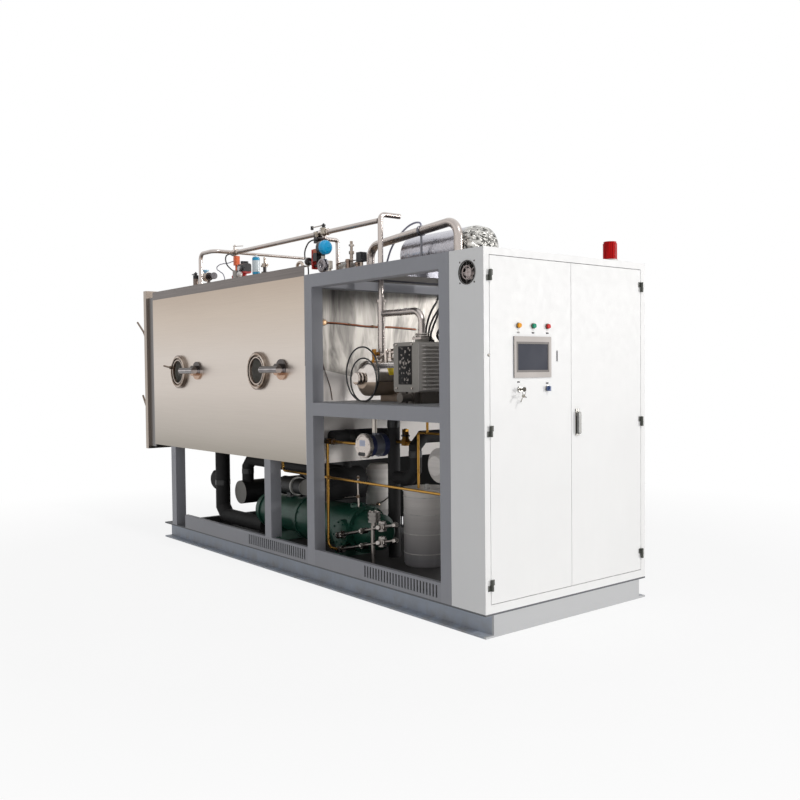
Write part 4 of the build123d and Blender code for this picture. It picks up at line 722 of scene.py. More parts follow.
class DRYER_OT_machinery(bpy.types.Operator):
    """Finishes the pumps, compressor, vessels, pipework and valves"""
    bl_idname = "dryer.machinery"
    bl_label = "Machinery"

    def execute(self, context):
        chrome = paint(226, 219, 213)
        # The lower part of the pump body is painted brown: a painted reflection.
        pump_zones = [zone(paint(176, 156, 138), 0.34, 0.6, z=(1.1, 1.255)),
                      zone(paint(255, 222, 0), 0.35, x=(0.7, 0.8), y=(-0.367, -0.302), z=(1.296, 1.338))]
        dress(bright("pump_steel", chrome, 0.14, painted_reflection_share=0.55, zones=pump_zones), "circulation_pump")
        pipes = bright("pipe_steel", paint(208, 200, 195), 0.2, painted_reflection_share=0.65)
        dress(pipes, "circulation_pipes", "vacuum_lines")
        casting = Finish("pump_casting", 0.5)
        sand = casting.noise(260, 4, 0.6)
        # The finned part of the casting is painted lighter: a painted highlight on the fins.
        lit_fins = casting.box_mask(x=(1.1525, 1.3), z=(1.2, 1.49))
        under = casting.z < 1.199
        tone = casting.mix(sand.ramp(0.35, 0.75), paint(150, 145, 138), paint(172, 167, 159))
        tone = casting.mix(lit_fins, tone, paint(205, 200, 194))
        tone = casting.mix(under, tone, paint(96, 90, 84))
        casting.skin(tone, sand * 0.2 + 0.35, under * 0.6, casting.bump(sand, 0.4, 0.0005))
        dress(casting, "vacuum_pump")
        dress(foam("black_lagging", paint(24, 23, 24)), "insulated_pipes")
        vessels = assembly("vessel_black", (paint(32, 32, 33), 0.5, 0.0), [
            zone(paint(205, 203, 198), x=(-0.41, -0.39)),
            zone(paint(120, 118, 114), x=(-0.3, -0.2)),
            zone(paint(150, 148, 143), y=(-1, -0.288), x=(-1.4, -1.0)),
        ], 260, 0.0004)
        dress(vessels, "refrigerant_vessels")
        tank = Finish("pale_lagging", 0.5)
        # The pale tanks are painted darker towards the floor: painted shade.
        painted_shade_fade = tank.z.ramp(0.14, 0.56)
        wraps = tank.noise(5, 3, at=tank.stretched(0.4, 0.4, 9))
        tone = tank.mix(painted_shade_fade, paint(148, 146, 150), paint(250, 244, 238))
        tone = tank.mix(wraps.ramp(0.3, 0.7) * 0.3, tone, paint(178, 172, 168))
        dents = tank.bump(tank.noise(14, 3), 0.25, 0.004, tank.bump(wraps, 0.2, 0.001))
        tank.skin(tone, wraps * 0.2 + 0.36, normal=dents)
        dress(tank, "coolant_tanks")
        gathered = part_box("expansion_tank")[1].x - 0.15
        dress(foiled("foil_wrap", paint(206, 206, 214), gathered), "expansion_tank")
        dress(brushed("support_steel", paint(120, 120, 126), 0.35), "tank_supports")
        dress(cast("compressor_green", paint(26, 78, 62), 0.36), "compressor")
        dress(bright("brass_lines", paint(196, 150, 74), 0.24, 0.16, 0.5), "copper_lines")
        meter = assembly("meter_blue", (paint(22, 34, 78), 0.28, 0.0), [
            zone(paint(196, 190, 182), 0.22, 0.9, y=(-1, -0.4995)),
            zone(paint(120, 122, 130), 0.35, 0.6, y=(-0.4645, -0.409)),
            zone(paint(206, 198, 188), 0.3, 0.8, z=(0.951, 2)),
        ], 200, 0.0004)
        dress(meter, "flow_meter")
        manifold = bright("valve_steel_dark", paint(150, 146, 142), 0.24, 0.2, 0.9, [
            zone(paint(128, 124, 120), 0.3, 0.8, z=(0.42, 0.5)),
            zone(paint(62, 54, 50), 0.35, 0.8, x=(0.36, 0.44)),
        ])
        dress(manifold, "service_valves")
        steel_valves = bright("valve_steel", chrome, 0.18, zones=[
            zone(*DARK_METAL, x=(-0.05, 0.0035)), zone(*DARK_METAL, x=(0.25, 0.4), z=(1.95, 2)),
            zone(*INK, x=(0.025, 0.053), z=(2.25, 2.4)),
        ])
        dress(steel_valves, "hand_valves")
        dress(bright("relief_steel", paint(176, 164, 152), 0.22, zones=[
            zone(*INK, x=(0.429, 0.48), z=(2, 2.1)),
            zone(paint(112, 62, 52), 0.4, 0.3, x=(0.27, 0.33), z=(1.98, 2.003)),
            zone(*DARK_METAL, x=(-0.6, -0.5), z=(2.02, 2.06)),
        ]), "relief_valves")
        isolation = assembly("isolation_valve", (paint(226, 219, 208), 0.28, 0.35), [
            zone(*INK, x=(0.0, 0.1395), z=(1.99, 2.2)),
            zone(paint(206, 104, 62), x=(0.09, 0.1395), z=(2.085, 2.2)),
            zone(paint(214, 48, 40), 0.35, x=(0.07, 0.084), z=(1.97, 2.2)),
            zone(*DARK_METAL, x=(0.141, 0.16), z=(2.06, 2.2)),
            zone(paint(60, 62, 66), 0.3, 0.6, x=(0.16, 0.2), z=(2.06, 2.2)),
            zone(paint(176, 172, 178), 0.22, 1.0, y=(-0.49, -0.461), x=(0.17, 0.28), z=(1.94, 2.04)),
            zone(paint(190, 178, 168), 0.22, 1.0, x=(-0.2, -0.05)),
        ])
        dress(isolation, "isolation_valve")
        dress(moulded("cap_sky", paint(0, 186, 250), 0.3, 0.15), "actuator_cap")
        dress(moulded("coil_orange", paint(240, 104, 44), 0.35), "solenoid_coil")
        dress(assembly("feed_valve", (paint(128, 114, 106), 0.35, 0.7), [
            zone(paint(232, 216, 202), 0.3, x=(-1.4495, -1.4045), z=(2.02, 2.11)),
            zone(paint(58, 50, 50), 0.4, 0.3, x=(-1.4045, -1.34), z=(2.02, 2.11)),
            zone(paint(112, 110, 114), 0.4, 0.5, x=(-1.34, -1.3), z=(2.02, 2.11)),
            zone(paint(64, 50, 46), 0.4, 0.4, x=(-1.5, -1.38), z=(1.9, 2.02), y=(-0.48, -0.4)),
            zone(paint(150, 208, 240), 0.3, x=(-1.5, -1.43), z=(2.1, 2.13), y=(-0.48, -0.4)),
            zone(*INK, y=(-0.56, -0.49), z=(2.05, 2.2)),
        ]), "feed_valve")
        red = (paint(206, 34, 36), 0.35, 0.0)
        dress(assembly("pilot_valve", (paint(34, 32, 34), 0.38, 0.0), [
            zone(paint(140, 134, 130), 0.3, 0.8, x=(-0.989, -0.935)), zone(*red, x=(-1.2, -0.9895)),
            zone(*red, x=(-0.87, -0.79), z=(1.95, 2.052)),
            zone(paint(178, 176, 178), 0.25, 0.8, x=(-0.88, -0.83), y=(-0.5, -0.4705)),
            zone(paint(150, 144, 140), 0.3, 0.8, x=(-0.9345, -0.9), z=(1.95, 2.1)),
        ]), "pilot_valve")
        cyan = (paint(24, 166, 216), 0.3, 0.0)
        dress(assembly("bowl_white", (paint(226, 238, 244), 0.22, 0.0), [
            zone(*cyan, z=(2.118, 2.14)), zone(*cyan, z=(2.019, 2.036)),
            zone(paint(28, 34, 66), 0.35, x=(-0.8, -0.697)),
            zone(paint(96, 90, 86), 0.3, 0.8, z=(1.9, 2.0185)),
        ]), "filter_bowl")
        dress(bright("lever_bar", STEEL, 0.22), "tee_valve_lever")
        dress(bright("lever_knobbed", STEEL, 0.22,
                     zones=[zone(*INK, x=(-0.2, -0.085)), zone(*INK, x=(0.02, 0.06))]),
              "header_valve_lever")
        dress(moulded("lever_rubber", paint(28, 28, 29), 0.45), "feed_valve_lever", "bay_valve_lever")
        return {"FINISHED"}


class DRYER_OT_cabinet_fittings(bpy.types.Operator):
    """Adds the plates under the lamps, the rim lock, the card slot, the hanging keys and the fan's screws"""
    bl_idname = "dryer.cabinet_fittings"
    bl_label = "Cabinet fittings"

    def execute(self, context):
        front = door_face()
        low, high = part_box("indicator_lamps")
        rows = [(low.y + 0.0145, 1.507), ((low.y + high.y) / 2, 1.507), (high.y - 0.0145, 1.507),
                (-0.401, 1.259), (-0.189, 1.25)]
        plates = Shape("lamp_plates")
        for y, z in rows:
            plates.block((front, y - 0.009, z - 0.004), (front + 0.0014, y + 0.009, z + 0.004), 0.0006)
        dark = (paint(58, 58, 60), 0.4, 0.0)
        plate_finish = assembly("plate_grey", (paint(168, 166, 162), 0.4, 0.0),
                                [zone(*dark, y=(-0.35, 0)), zone(*dark, z=(1.2, 1.3))])
        plates.finished(plate_finish, "left_door")

        lock = Shape("rim_lock")
        lock.solid([(0, 0.0065), (0.003, 0.0065), (0.0038, 0.0055), (0.0038, 0.002), (0.0022, 0.0016)],
                   (front, -0.6095, 1.393), X, 32)
        lock.finished(bright("lock_steel", paint(120, 118, 114), 0.25))

        slot = Shape("card_slot")
        slot.block((front, -0.1165, 1.362), (front + 0.0022, -0.1075, 1.418), 0.001)
        slot_line = [zone(paint(40, 42, 46), y=(-0.1135, -0.1105), z=(1.368, 1.412))]
        slot_finish = assembly("slot_grey", (paint(128, 128, 132), 0.4, 0.0), slot_line)
        slot.finished(slot_finish, "left_door")

        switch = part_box("key_switch")
        hang = Vector((switch[1].x - 0.0115, (switch[0].y + switch[1].y) / 2, switch[1].z - 0.0175))
        angles = [i * math.pi / 4 for i in range(8)]
        turns = [hang + Vector((0, 0.011 * math.sin(a) - 0.004, 0.011 * math.cos(a) - 0.012)) for a in angles]
        ring_metal = cast("ring_metal", paint(120, 116, 110), 0.35, 0.4)
        tubes("key_ring", [(0.0011, turns)], ring_metal, "key", closed=True)
        keys = Shape("spare_keys")
        for x, tip in ((0.0018, (-0.030, -0.058)), (-0.0018, (0.016, -0.036))):
            head = hang + Vector((x, -0.006 + 0.2 * tip[0], -0.028))
            end = hang + Vector((x, tip[0], tip[1]))
            keys.ring([(-0.001, 0.0025), (-0.001, 0.0085), (0.001, 0.0085), (0.001, 0.0025)], head, X, 20)
            keys.plate(head + (end - head) * 0.3, end, 0.0055, 0.0016, 0.0004)
        keys.finished(cast("key_metal", paint(104, 100, 90), 0.35, 0.3), "key")

        screws = Shape("fan_screws")
        fan_low, fan_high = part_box("fan_rotor")
        fan_x, fan_z = (fan_low.x + fan_high.x) / 2, (fan_low.z + fan_high.z) / 2
        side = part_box("cabinet_panels")[0].y
        for sx in (-1, 1):
            for sz in (-1, 1):
                place = (fan_x + sx * 0.0515, side, fan_z + sz * 0.0515)
                head = [(0, 0), (0, 0.0045), (0.0012, 0.0042), (0.0022, 0.003), (0.0026, 0.0012), (0.0018, 0)]
                screws.turned(head, place, NEAR, 16)
        screws.finished(bright("screw_steel", paint(110, 106, 102), 0.3))
        return {"FINISHED"}


class DRYER_OT_roof_fittings(bpy.types.Operator):
    """Adds the small fittings on the roof: knobs, unions, a port's rim, a strainer and the smooth hoses"""
    bl_idname = "dryer.roof_fittings"
    bl_label = "Roof fittings"

    def execute(self, context):
        chrome = bright("union_chrome", paint(206, 198, 190), 0.18)
        dark = moulded("knob_black", paint(26, 26, 28), 0.35, 0.3)
        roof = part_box("chamber_cladding")[1].z
        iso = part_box("isolation_valve")[0].y
        axis_x, axis_z = 0.227, roof + 0.078
        rim = Shape("port_rim")
        rim.ring([(0, 0.0435), (0.004, 0.0435), (0.0065, 0.041), (0.0065, 0.031), (0.0035, 0.028),
                  (0.0035, 0.0175), (0, 0.0165)], (axis_x, iso, axis_z), NEAR, 40)
        rim.bolts((axis_x, iso - 0.0035, axis_z), NEAR, 0.0235, 6, 0.0055, 0.003)
        rim.finished(bright("rim_steel", paint(168, 164, 168), 0.2))

        ball = Shape("pilot_knob")
        ball.turned([(0, 0), (0, 0.0125), (0.004, 0.0205), (0.011, 0.0235), (0.019, 0.0225),
                     (0.026, 0.0175), (0.031, 0.009), (0.032, 0)],
                    (-0.846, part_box("pilot_valve")[0].y + 0.02, roof + 0.116), (0.1, -1, 0), 28)
        ball.finished(moulded("knob_white", paint(238, 236, 234), 0.3, 0.3))

        wheel = Shape("isolation_knob")
        wheel.turned([(0, 0), (0, 0.022), (0.006, 0.026), (0.024, 0.026), (0.03, 0.021), (0.032, 0)],
                     (-0.002, VALVE_Y, roof + 0.126), (1, -0.3, 0), 28)
        wheel.bar((0.024, -0.447, roof + 0.126), (0.072, VALVE_Y, roof + 0.09), 0.009, edge=0.001)
        wheel.finished(dark)

        spool = Shape("header_spool")
        spool.solid([(0, 0.018), (0.006, 0.02), (0.01, 0.015), (0.03, 0.015), (0.034, 0.02), (0.04, 0.018)],
                    (0.062, -0.362, 2.222), Z, 28)
        spool.solid([(0, 0.011), (0.03, 0.011), (0.034, 0.008)], (0.006, -0.37, 2.212), (0, -0.6, 1))
        spool.finished(cast("spool_cream", paint(222, 212, 194), 0.35))
        unions = Shape("header_unions")
        unions.nuts(
            ((-0.02, DELIVERY_Y, HEADER_Z), X, 0.04, 0.02), ((0.085, DELIVERY_Y, HEADER_Z), X, 0.04, 0.02),
            ((-1.215, DELIVERY_Y, HEADER_Z), X, 0.038, 0.016),
            ((-1.13, DELIVERY_Y, HEADER_Z), X, 0.038, 0.016),
            ((0.30, -0.305, 2.0), Z, 0.03, 0.012), ((0.30, -0.305, 2.12), Z, 0.03, 0.012),
            ((-0.558, VALVE_Y, roof + 0.03), Z, 0.03, 0.012), ((0.039, -0.23, roof + 0.03), Z, 0.036, 0.02),
            ((-1.385, -0.52, roof + 0.025), Z, 0.038, 0.02),
        )
        unions.finished(chrome, crease=25)

        bay = Shape("bay_unions")
        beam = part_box("frame_beams")[1].z
        for x, y, height, radius in ((0.205, -0.335, 0.11, 0.014), (0.352, -0.37, 0.12, 0.013),
                                     (0.4, -0.33, 0.1, 0.015)):
            flange, collar = radius * 1.5, radius * 1.35
            bay.solid([(0, flange), (0.01, flange), (0.012, radius), (height - 0.02, radius),
                       (height - 0.018, collar), (height - 0.004, collar), (height, radius)],
                      (x, y, beam - 0.012), Z)
        bay.bar((0.2, -0.345, beam + 0.098), (0.42, -0.345, beam + 0.098), 0.0035)
        bay.finished(bright("bay_union_steel", paint(150, 132, 120), 0.22))
        strainer = Shape("bay_strainer")
        strainer.solid([(0, 0.02), (0.01, 0.02), (0.012, 0.014), (0.03, 0.014), (0.034, 0.026), (0.09, 0.026),
                        (0.094, 0.014), (0.12, 0.014), (0.122, 0.02), (0.132, 0.02)],
                       (0.235, -0.345, beam + 0.07), X, 28)
        strainer.solid([(0, 0.017), (0.04, 0.017), (0.044, 0.021), (0.056, 0.021)],
                       (0.3, -0.35, beam + 0.066), (0.5, -0.5, -0.6))
        strainer.finished(cast("strainer_cream", paint(216, 212, 206), 0.3, 0.4))

        rubber = moulded("hose_black", paint(24, 24, 26), 0.35, 0.2)
        black_hoses = [
            (HOSE_RADIUS, [(-0.006, -0.35, 2.187), (-0.03, -0.385, 2.19), (-0.085, -0.4, 2.146),
                           (-0.099, -0.4, 2.083), (-0.08, -0.4, 2.05), (-0.063, -0.4, 2.02),
                           (-0.063, -0.4, roof)]),
            (HOSE_RADIUS, [(x, VALVE_Y, roof + rise) for x, rise in (
                (-0.982, 0.15), (-1.06, 0.182), (-1.125, 0.235), (-1.128, 0.275), (-1.09, 0.29),
                (-1.04, 0.284), (-0.962, 0.256))]),
        ]
        round_pump = []
        for i in range(2):
            reach = 0.13 + 0.033 * i
            round_pump.append((HOSE_RADIUS, [
                (PUMP_X + reach * math.cos(k * math.pi / 6) - 0.025 * i, -0.48 + 0.01 * i,
                 1.268 + 0.035 * i + reach * math.sin(k * math.pi / 6)) for k in range(12)]))
        tubes("air_hoses", black_hoses, rubber, replaces=("hoses",))
        tubes("pump_hoses", round_pump, rubber, replaces=("hoses",), closed=True)
        grey_cables = [
            (0.0035, [(x, VALVE_Y, roof + rise) for x, rise in (
                (-1.147, 0), (-1.147, 0.07), (-1.165, 0.14), (-1.235, 0.18), (-1.275, 0.206), (-1.25, 0.222),
                (-1.19, 0.229), (-1.096, 0.226), (-1.012, 0.232), (-0.962, 0.232))]),
            (0.006, [(x, y, beam + rise) for x, y, rise in (
                (0.33, -0.06, 0), (0.332, -0.06, 0.05), (0.36, -0.06, 0.12), (0.408, -0.06, 0.2),
                (0.482, -0.06, 0.262), (0.543, -0.06, 0.299), (0.61, -0.06, 0.322), (0.67, -0.06, 0.325),
                (0.71, -0.07, 0.309), (0.728, -0.09, 0.27))]),
        ]
        sheath = moulded("cable_grey", paint(150, 150, 172), 0.4)
        tubes("signal_cables", grey_cables, sheath, replaces=("hoses",))
        return {"FINISHED"}


class DRYER_OT_bay_fittings(bpy.types.Operator):
    """Adds the pipes, unions, cables and bolts of the upper bay"""
    bl_idname = "dryer.bay_fittings"
    bl_label = "Upper bay fittings"

    def execute(self, context):
        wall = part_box("chamber_cladding")[1].x + 0.009
        copper = bright("wall_copper", paint(164, 112, 92), 0.3, 0.2, 0.7)
        run = [(wall, y, z) for y, z in (
            (-0.512, 1.629), (-0.4, 1.628), (-0.303, 1.622), (-0.101, 1.611), (0.041, 1.612), (0.25, 1.602))]
        tubes("wall_pipe", [(0.0062, run)], copper)
        blocks = Shape("wall_pipe_fitting")
        blocks.block((wall - 0.0085, -0.535, 1.612), (wall + 0.014, -0.492, 1.648), 0.004)
        blocks.nuts(
            ((wall, -0.492, 1.629), Y, 0.02, 0.014), ((wall, -0.12, 1.612), Y, 0.018, 0.016),
            ((wall, -0.31, 1.6225), Y, 0.016, 0.012),
        )
        brass = bright("fitting_brass", paint(186, 156, 124), 0.3, 0.15, 0.7)
        blocks.finished(brass, crease=25)
        cable = [(wall - 0.004, y, z) for y, z in (
            (-0.523, 1.615), (-0.525, 1.488), (-0.516, 1.394), (-0.487, 1.299), (-0.457, 1.216),
            (-0.443, 1.14))]
        brown = moulded("cable_brown", paint(92, 62, 52), 0.4)
        tubes("wall_cable", [(0.0028, cable)], brown)
        bundle = [
            (0.006, [(1.135, -0.3, 1.75), (1.119, -0.3, 1.717), (1.066, -0.3, 1.657), (1.034, -0.3, 1.596),
                     (1.02, -0.3, 1.55), (1.022, -0.3, 1.51)]),
            (0.006, [(1.15, -0.285, 1.72), (1.128, -0.29, 1.676), (1.078, -0.3, 1.611), (1.048, -0.3, 1.55),
                     (1.045, -0.3, 1.51)]),
            (0.006, [(1.15, -0.31, 1.66), (1.127, -0.31, 1.62), (1.09, -0.31, 1.56), (1.075, -0.31, 1.515)]),
            (0.007, [(1.12, -0.26, 1.79), (1.145, -0.27, 1.74), (1.16, -0.29, 1.66), (1.15, -0.3, 1.57),
                     (1.12, -0.3, 1.52)]),
        ]
        for radius, points in bundle:
            x, y, z = points[-1]
            points.append((x + 0.004, y + 0.02, CASING_TOP))
        tubes("pump_cables", bundle, moulded("cable_black", paint(22, 21, 22), 0.35, 0.2))

        pump_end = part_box("circulation_pump")[0].y
        chrome = bright("pump_chrome", paint(226, 216, 208), 0.14)
        unions = Shape("pump_unions")
        unions.hexagon((PUMP_X, DELIVERY_Y, RISER_FOOT + 0.012), Z, 0.05, 0.022)
        unions.solid([(0, 0.028), (0.008, 0.031), (0.016, 0.028)], (PUMP_X, DELIVERY_Y, 1.737), Z, 32)
        for place in (0.0, 0.022, 0.052):
            unions.collar((PUMP_X, pump_end + 0.004 + place, PUMP_Z), Y, 0.018, 0.036, 0.012)
        for start, end, radius, edge in (
            ((0.7, 1.395), (0.77, BRANCH_Z), 0.011, 0.001), ((0.77, 1.37), (0.77, 1.447), 0.014, 0.002),
            ((0.77, BRANCH_Z), (0.86, BRANCH_Z), 0.01, 0.001),
        ):
            unions.bar(*((x, BRANCH_Y, z) for x, z in (start, end)), radius, edge=edge)
        unions.solid([(0, 0.022), (0.012, 0.022), (0.016, 0.013), (0.05, 0.013), (0.054, 0.02), (0.066, 0.02)],
                     (0.815, BRANCH_Y, 1.385), Z)
        unions.hexagon((0.862, BRANCH_Y, BRANCH_Z), X, 0.03, 0.016)
        unions.bar((0.868, BRANCH_Y, BRANCH_Z), (0.935, BRANCH_Y, BRANCH_Z), 0.009)
        unions.finished(chrome, crease=30)
        elbow = Shape("riser_elbow")
        for start, end, radius, edge in (
            ((-0.362, 0.02), (-0.398, 0.02), 0.012, 0.001), ((-0.396, 0.034), (-0.396, -0.02), 0.013, 0.002),
        ):
            elbow.bar(*((PUMP_X, y, RISER_FOOT + rise) for y, rise in (start, end)), radius, edge=edge)
        elbow.hexagon((PUMP_X, -0.396, RISER_FOOT + 0.03), Z, 0.024, 0.018)
        elbow.bar((PUMP_X, -0.398, RISER_FOOT - 0.012), (0.66, -0.45, RISER_FOOT - 0.05), 0.008, 0.006)
        elbow.finished(bright("elbow_brass", paint(176, 126, 60), 0.28, 0.15, 0.7), crease=30)

        cover = Shape("oil_window")
        cover.block((0.977, -0.4745, 1.243), (1.094, -0.4685, 1.46), 0.0025)
        glass = Finish("oil_window", 0.3)
        glass.set("Specular IOR Level", 0.15)
        flecks = glass.cells(52, glass.warped(40, 0.03))
        rim = 1 - glass.box_mask(x=(0.984, 1.087), z=(1.25, 1.453))
        tone = glass.mix(flecks.ramp(0.2, 0.44), paint(190, 180, 172), paint(14, 12, 13))
        tone = glass.mix(rim, tone, paint(34, 32, 32))
        glass.skin(tone, flecks * 0.3 + 0.22, normal=glass.bump(flecks, 0.5, 0.003))
        cover.finished(glass)
        inlet = Shape("inlet_clamp")
        for z in (1.514, 1.526):
            inlet.collar((INLET_X, DELIVERY_Y, z), Z, 0.02, 0.035, 0.01)
        inlet.bolts((INLET_X, DELIVERY_Y, 1.512), Z, 0.046, 4, 0.011, 0.008, math.pi / 4)
        for x in (0.967, 1.105):
            for z in (1.222, 1.47):
                inlet.hexagon((x - 0.008, -0.47, z), NEAR, 0.012, 0.006)
        inlet.finished(bright("clamp_steel", paint(196, 190, 184), 0.2), crease=30)
        return {"FINISHED"}


class DRYER_OT_lower_fittings(bpy.types.Operator):
    """Adds the meter's face, the manifold's caps, the thin lines and the bolts of the lower bay"""
    bl_idname = "dryer.lower_fittings"
    bl_label = "Lower bay fittings"

    def execute(self, context):
        meter = Vector((0.697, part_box("flow_meter")[0].y, 0.876))
        face = Shape("meter_face")
        rim = [(0, 0.072), (0.004, 0.072), (0.007, 0.069), (0.007, 0.062), (0.003, 0.058)]
        face.solid(rim, meter, NEAR, 40)
        face.bolts(meter + Vector((0, -0.007, 0)), NEAR, 0.0655, 8, 0.007, 0.003, 0.2)
        face.finished(bright("meter_steel", paint(214, 206, 200), 0.22, 0.1, 0.5, zones=[
            zone(paint(186, 192, 214), 0.12, x=(0.664, 0.72), z=(0.875, 0.91), y=(-0.6, meter.y - 0.0025)),
            zone(paint(30, 26, 26), x=(0.655, 0.72), z=(0.816, 0.838), y=(-0.6, meter.y - 0.0025)),
        ]), crease=30)
        ribs = Shape("meter_bolts")
        ribs.bolts(meter + Vector((0, 0.0225, 0)), Y, 0.069, 8, 0.008, 0.006, 0.1)
        ribs.bolts(meter + Vector((0, 0.111, 0)), NEAR, 0.064, 8, 0.008, 0.005, 0.3)
        ribs.finished(bright("meter_bolt_steel", paint(160, 158, 160), 0.25), crease=25)

        silver = bright("thin_silver", paint(206, 198, 190), 0.24, 0.1, 0.7)
        tubes("oil_lines", [
            (0.006, [(0.38, -0.33, 0.656), (0.376, -0.33, 0.6), (0.378, -0.33, 0.54), (0.384, -0.33, 0.45)]),
            (0.005, [(0.0, -0.33, 0.465), (0.094, -0.33, 0.478), (0.25, -0.33, 0.505), (0.34, -0.33, 0.52),
                     (0.376, -0.33, 0.524)]),
            (0.0045, [(0.361, -0.06, 0.64), (0.361, -0.06, 0.56), (0.358, -0.062, 0.505), (0.33, -0.066, 0.478),
                      (0.252, -0.08, 0.438), (0.18, -0.1, 0.425), (0.12, -0.13, 0.418), (0.115, -0.18, 0.415),
                      (0.115, -0.25, 0.43)]),
        ], silver)
        small = Shape("oil_line_nuts")
        small.nuts(
            ((0.38, -0.33, 0.638), Z, 0.018, 0.014), ((0.376, -0.33, 0.515), Z, 0.02, 0.018),
            ((0.25, -0.08, 0.437), (1, 0.05, 0.2), 0.018, 0.02),
        )
        small.finished(bright("nut_bronze", paint(122, 104, 86), 0.34), crease=25)

        arm_x, arm_y, arm_high, arm_low = 0.741, -0.49, 0.382, 0.292
        rise = 0.24
        chrome = bright("manifold_chrome", paint(190, 186, 182), 0.2, 0.15, 0.9)
        caps = Shape("manifold_caps")
        for z in (arm_high, arm_low):
            for reach, across in ((-0.33, 0.04), (0.10, 0.034), (0.205, 0.03)):
                caps.hexagon((arm_x + reach, arm_y, z + reach * rise), (1, 0, rise), across, 0.024)
            caps.solid([(0, 0.013), (0.006, 0.015), (0.02, 0.015), (0.024, 0.011)],
                       (arm_x + 0.092, arm_y - 0.02, z + 0.02), (0.2, -1, 0.3), 20)
            caps.hexagon((arm_x + 0.092, arm_y, z + 0.046), Z, 0.036, 0.012)
            caps.bar((arm_x - 0.09, arm_y - 0.022, z - 0.022), (arm_x - 0.09, arm_y - 0.034, z - 0.022),
                     0.011, edge=0.002)
            gland = [(0, 0.01), (0, 0.021), (0.004, 0.022), (0.01, 0.022), (0.012, 0.019), (0.012, 0.01)]
            caps.ring(gland, (arm_x - 0.352, arm_y, z - 0.0845), (-1, 0, -rise), 24)
        caps.bolts((arm_x + 0.014, arm_y, arm_high + 0.104), Z, 0.024, 4, 0.011, 0.007, 0.5)
        caps.finished(chrome, crease=30)

        comp_y, comp_z = -0.29, 0.314
        bolts = Shape("compressor_bolts")
        for x, way, radius in ((0.422, 1, 0.1375), (-0.208, 1, 0.146), (0.39, -1, 0.1475)):
            bolts.bolts((x, comp_y, comp_z), (way, 0, 0), radius, 12, 0.013, 0.009, 0.13)
        bolts.bolts((0.35, comp_y - 0.169, comp_z - 0.014), NEAR, 0.07, 8, 0.012, 0.008, 0.2)
        bolts.bolts((0.32, comp_y, comp_z + 0.15), Z, 0.044, 6, 0.01, 0.007, 0.2)
        bolts.finished(cast("bolt_green", paint(40, 84, 72), 0.35), crease=25)

        bands = Shape("tank_bands")
        for z in (0.2, 0.32, 0.44, 0.545):
            bands.ring([(0, 0.1355), (0, 0.1378), (0.006, 0.1378), (0.006, 0.1355)], (0.762, -0.095, z), Z, 48)
        bands.solid([(0, 0.02), (0.01, 0.02), (0.012, 0.012), (0.03, 0.012)], (0.83, -0.14, 0.598), Z, 20)
        bands.finished(foam("band_grey", paint(222, 219, 214), 0.5))

        joints = Shape("lagging_joints")
        for place, way, radius in (
            ((0.47, -0.11, 0.30), Z, 0.04), ((0.47, -0.11, 0.98), Z, 0.04), ((0.685, -0.11, 0.80), Z, 0.04),
            ((0.32, -0.36, 0.905), Y, 0.045), ((-1.46, -0.32, 0.45), Z, 0.057),
            ((-1.231, -0.222, 0.55), Z, 0.045), ((-0.75, -0.222, 0.645), X, 0.045),
            ((-0.3, -0.222, 0.645), X, 0.045),
        ):
            under, over = radius - 0.001, radius + 0.0022
            joints.ring([(-0.02, under), (-0.019, over), (0.019, over), (0.02, under)], place, way)
        joints.finished(moulded("lagging_tape", paint(30, 30, 31), 0.35))

        links = Shape("link_handle")
        links.block((0.566, -0.128, 0.906), (0.614, -0.092, 0.914), 0.002)
        links.bar((0.59, -0.11, 0.912), (0.59, -0.11, 0.955), 0.017, 0.012, edge=0.003)
        links.finished(moulded("handle_black", paint(24, 24, 26), 0.4))
        stop = Shape("stop_valve_cap")
        stop.hexagon((0.366, -0.512, 0.884), X, 0.036, 0.016)
        stop.hexagon((0.306, -0.512, 0.884), (-1, 0, 0), 0.028, 0.04)
        stop.bar((0.343, -0.525, 0.884), (0.343, -0.548, 0.884), 0.012, edge=0.002)
        stop.hexagon((0.343, -0.546, 0.884), NEAR, 0.02, 0.012)
        stop.finished(bright("stop_bronze", paint(96, 80, 66), 0.32, 0.15, 0.8), crease=25)
        return {"FINISHED"}


class DRYER_OT_sight_fittings(bpy.types.Operator):
    """Adds the inner rims of the sight glasses"""
    bl_idname = "dryer.sight_fittings"
    bl_label = "Sight glass fittings"

    def execute(self, context):
        low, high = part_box("sight_glass_rings")
        chrome = bright("sight_chrome", paint(220, 208, 198), 0.14)
        sights = Shape("sight_rims")
        centre_z = (low.z + high.z) / 2
        for x in (low.x + SIGHT_RADIUS, high.x - SIGHT_RADIUS):
            sights.ring([(0, 0.086), (0, 0.0945), (0.003, 0.0935), (0.0035, 0.089), (0.003, 0.086)],
                        (x, low.y + 0.006, centre_z), NEAR, 48)
        sights.finished(chrome, crease=30)
        return {"FINISHED"}


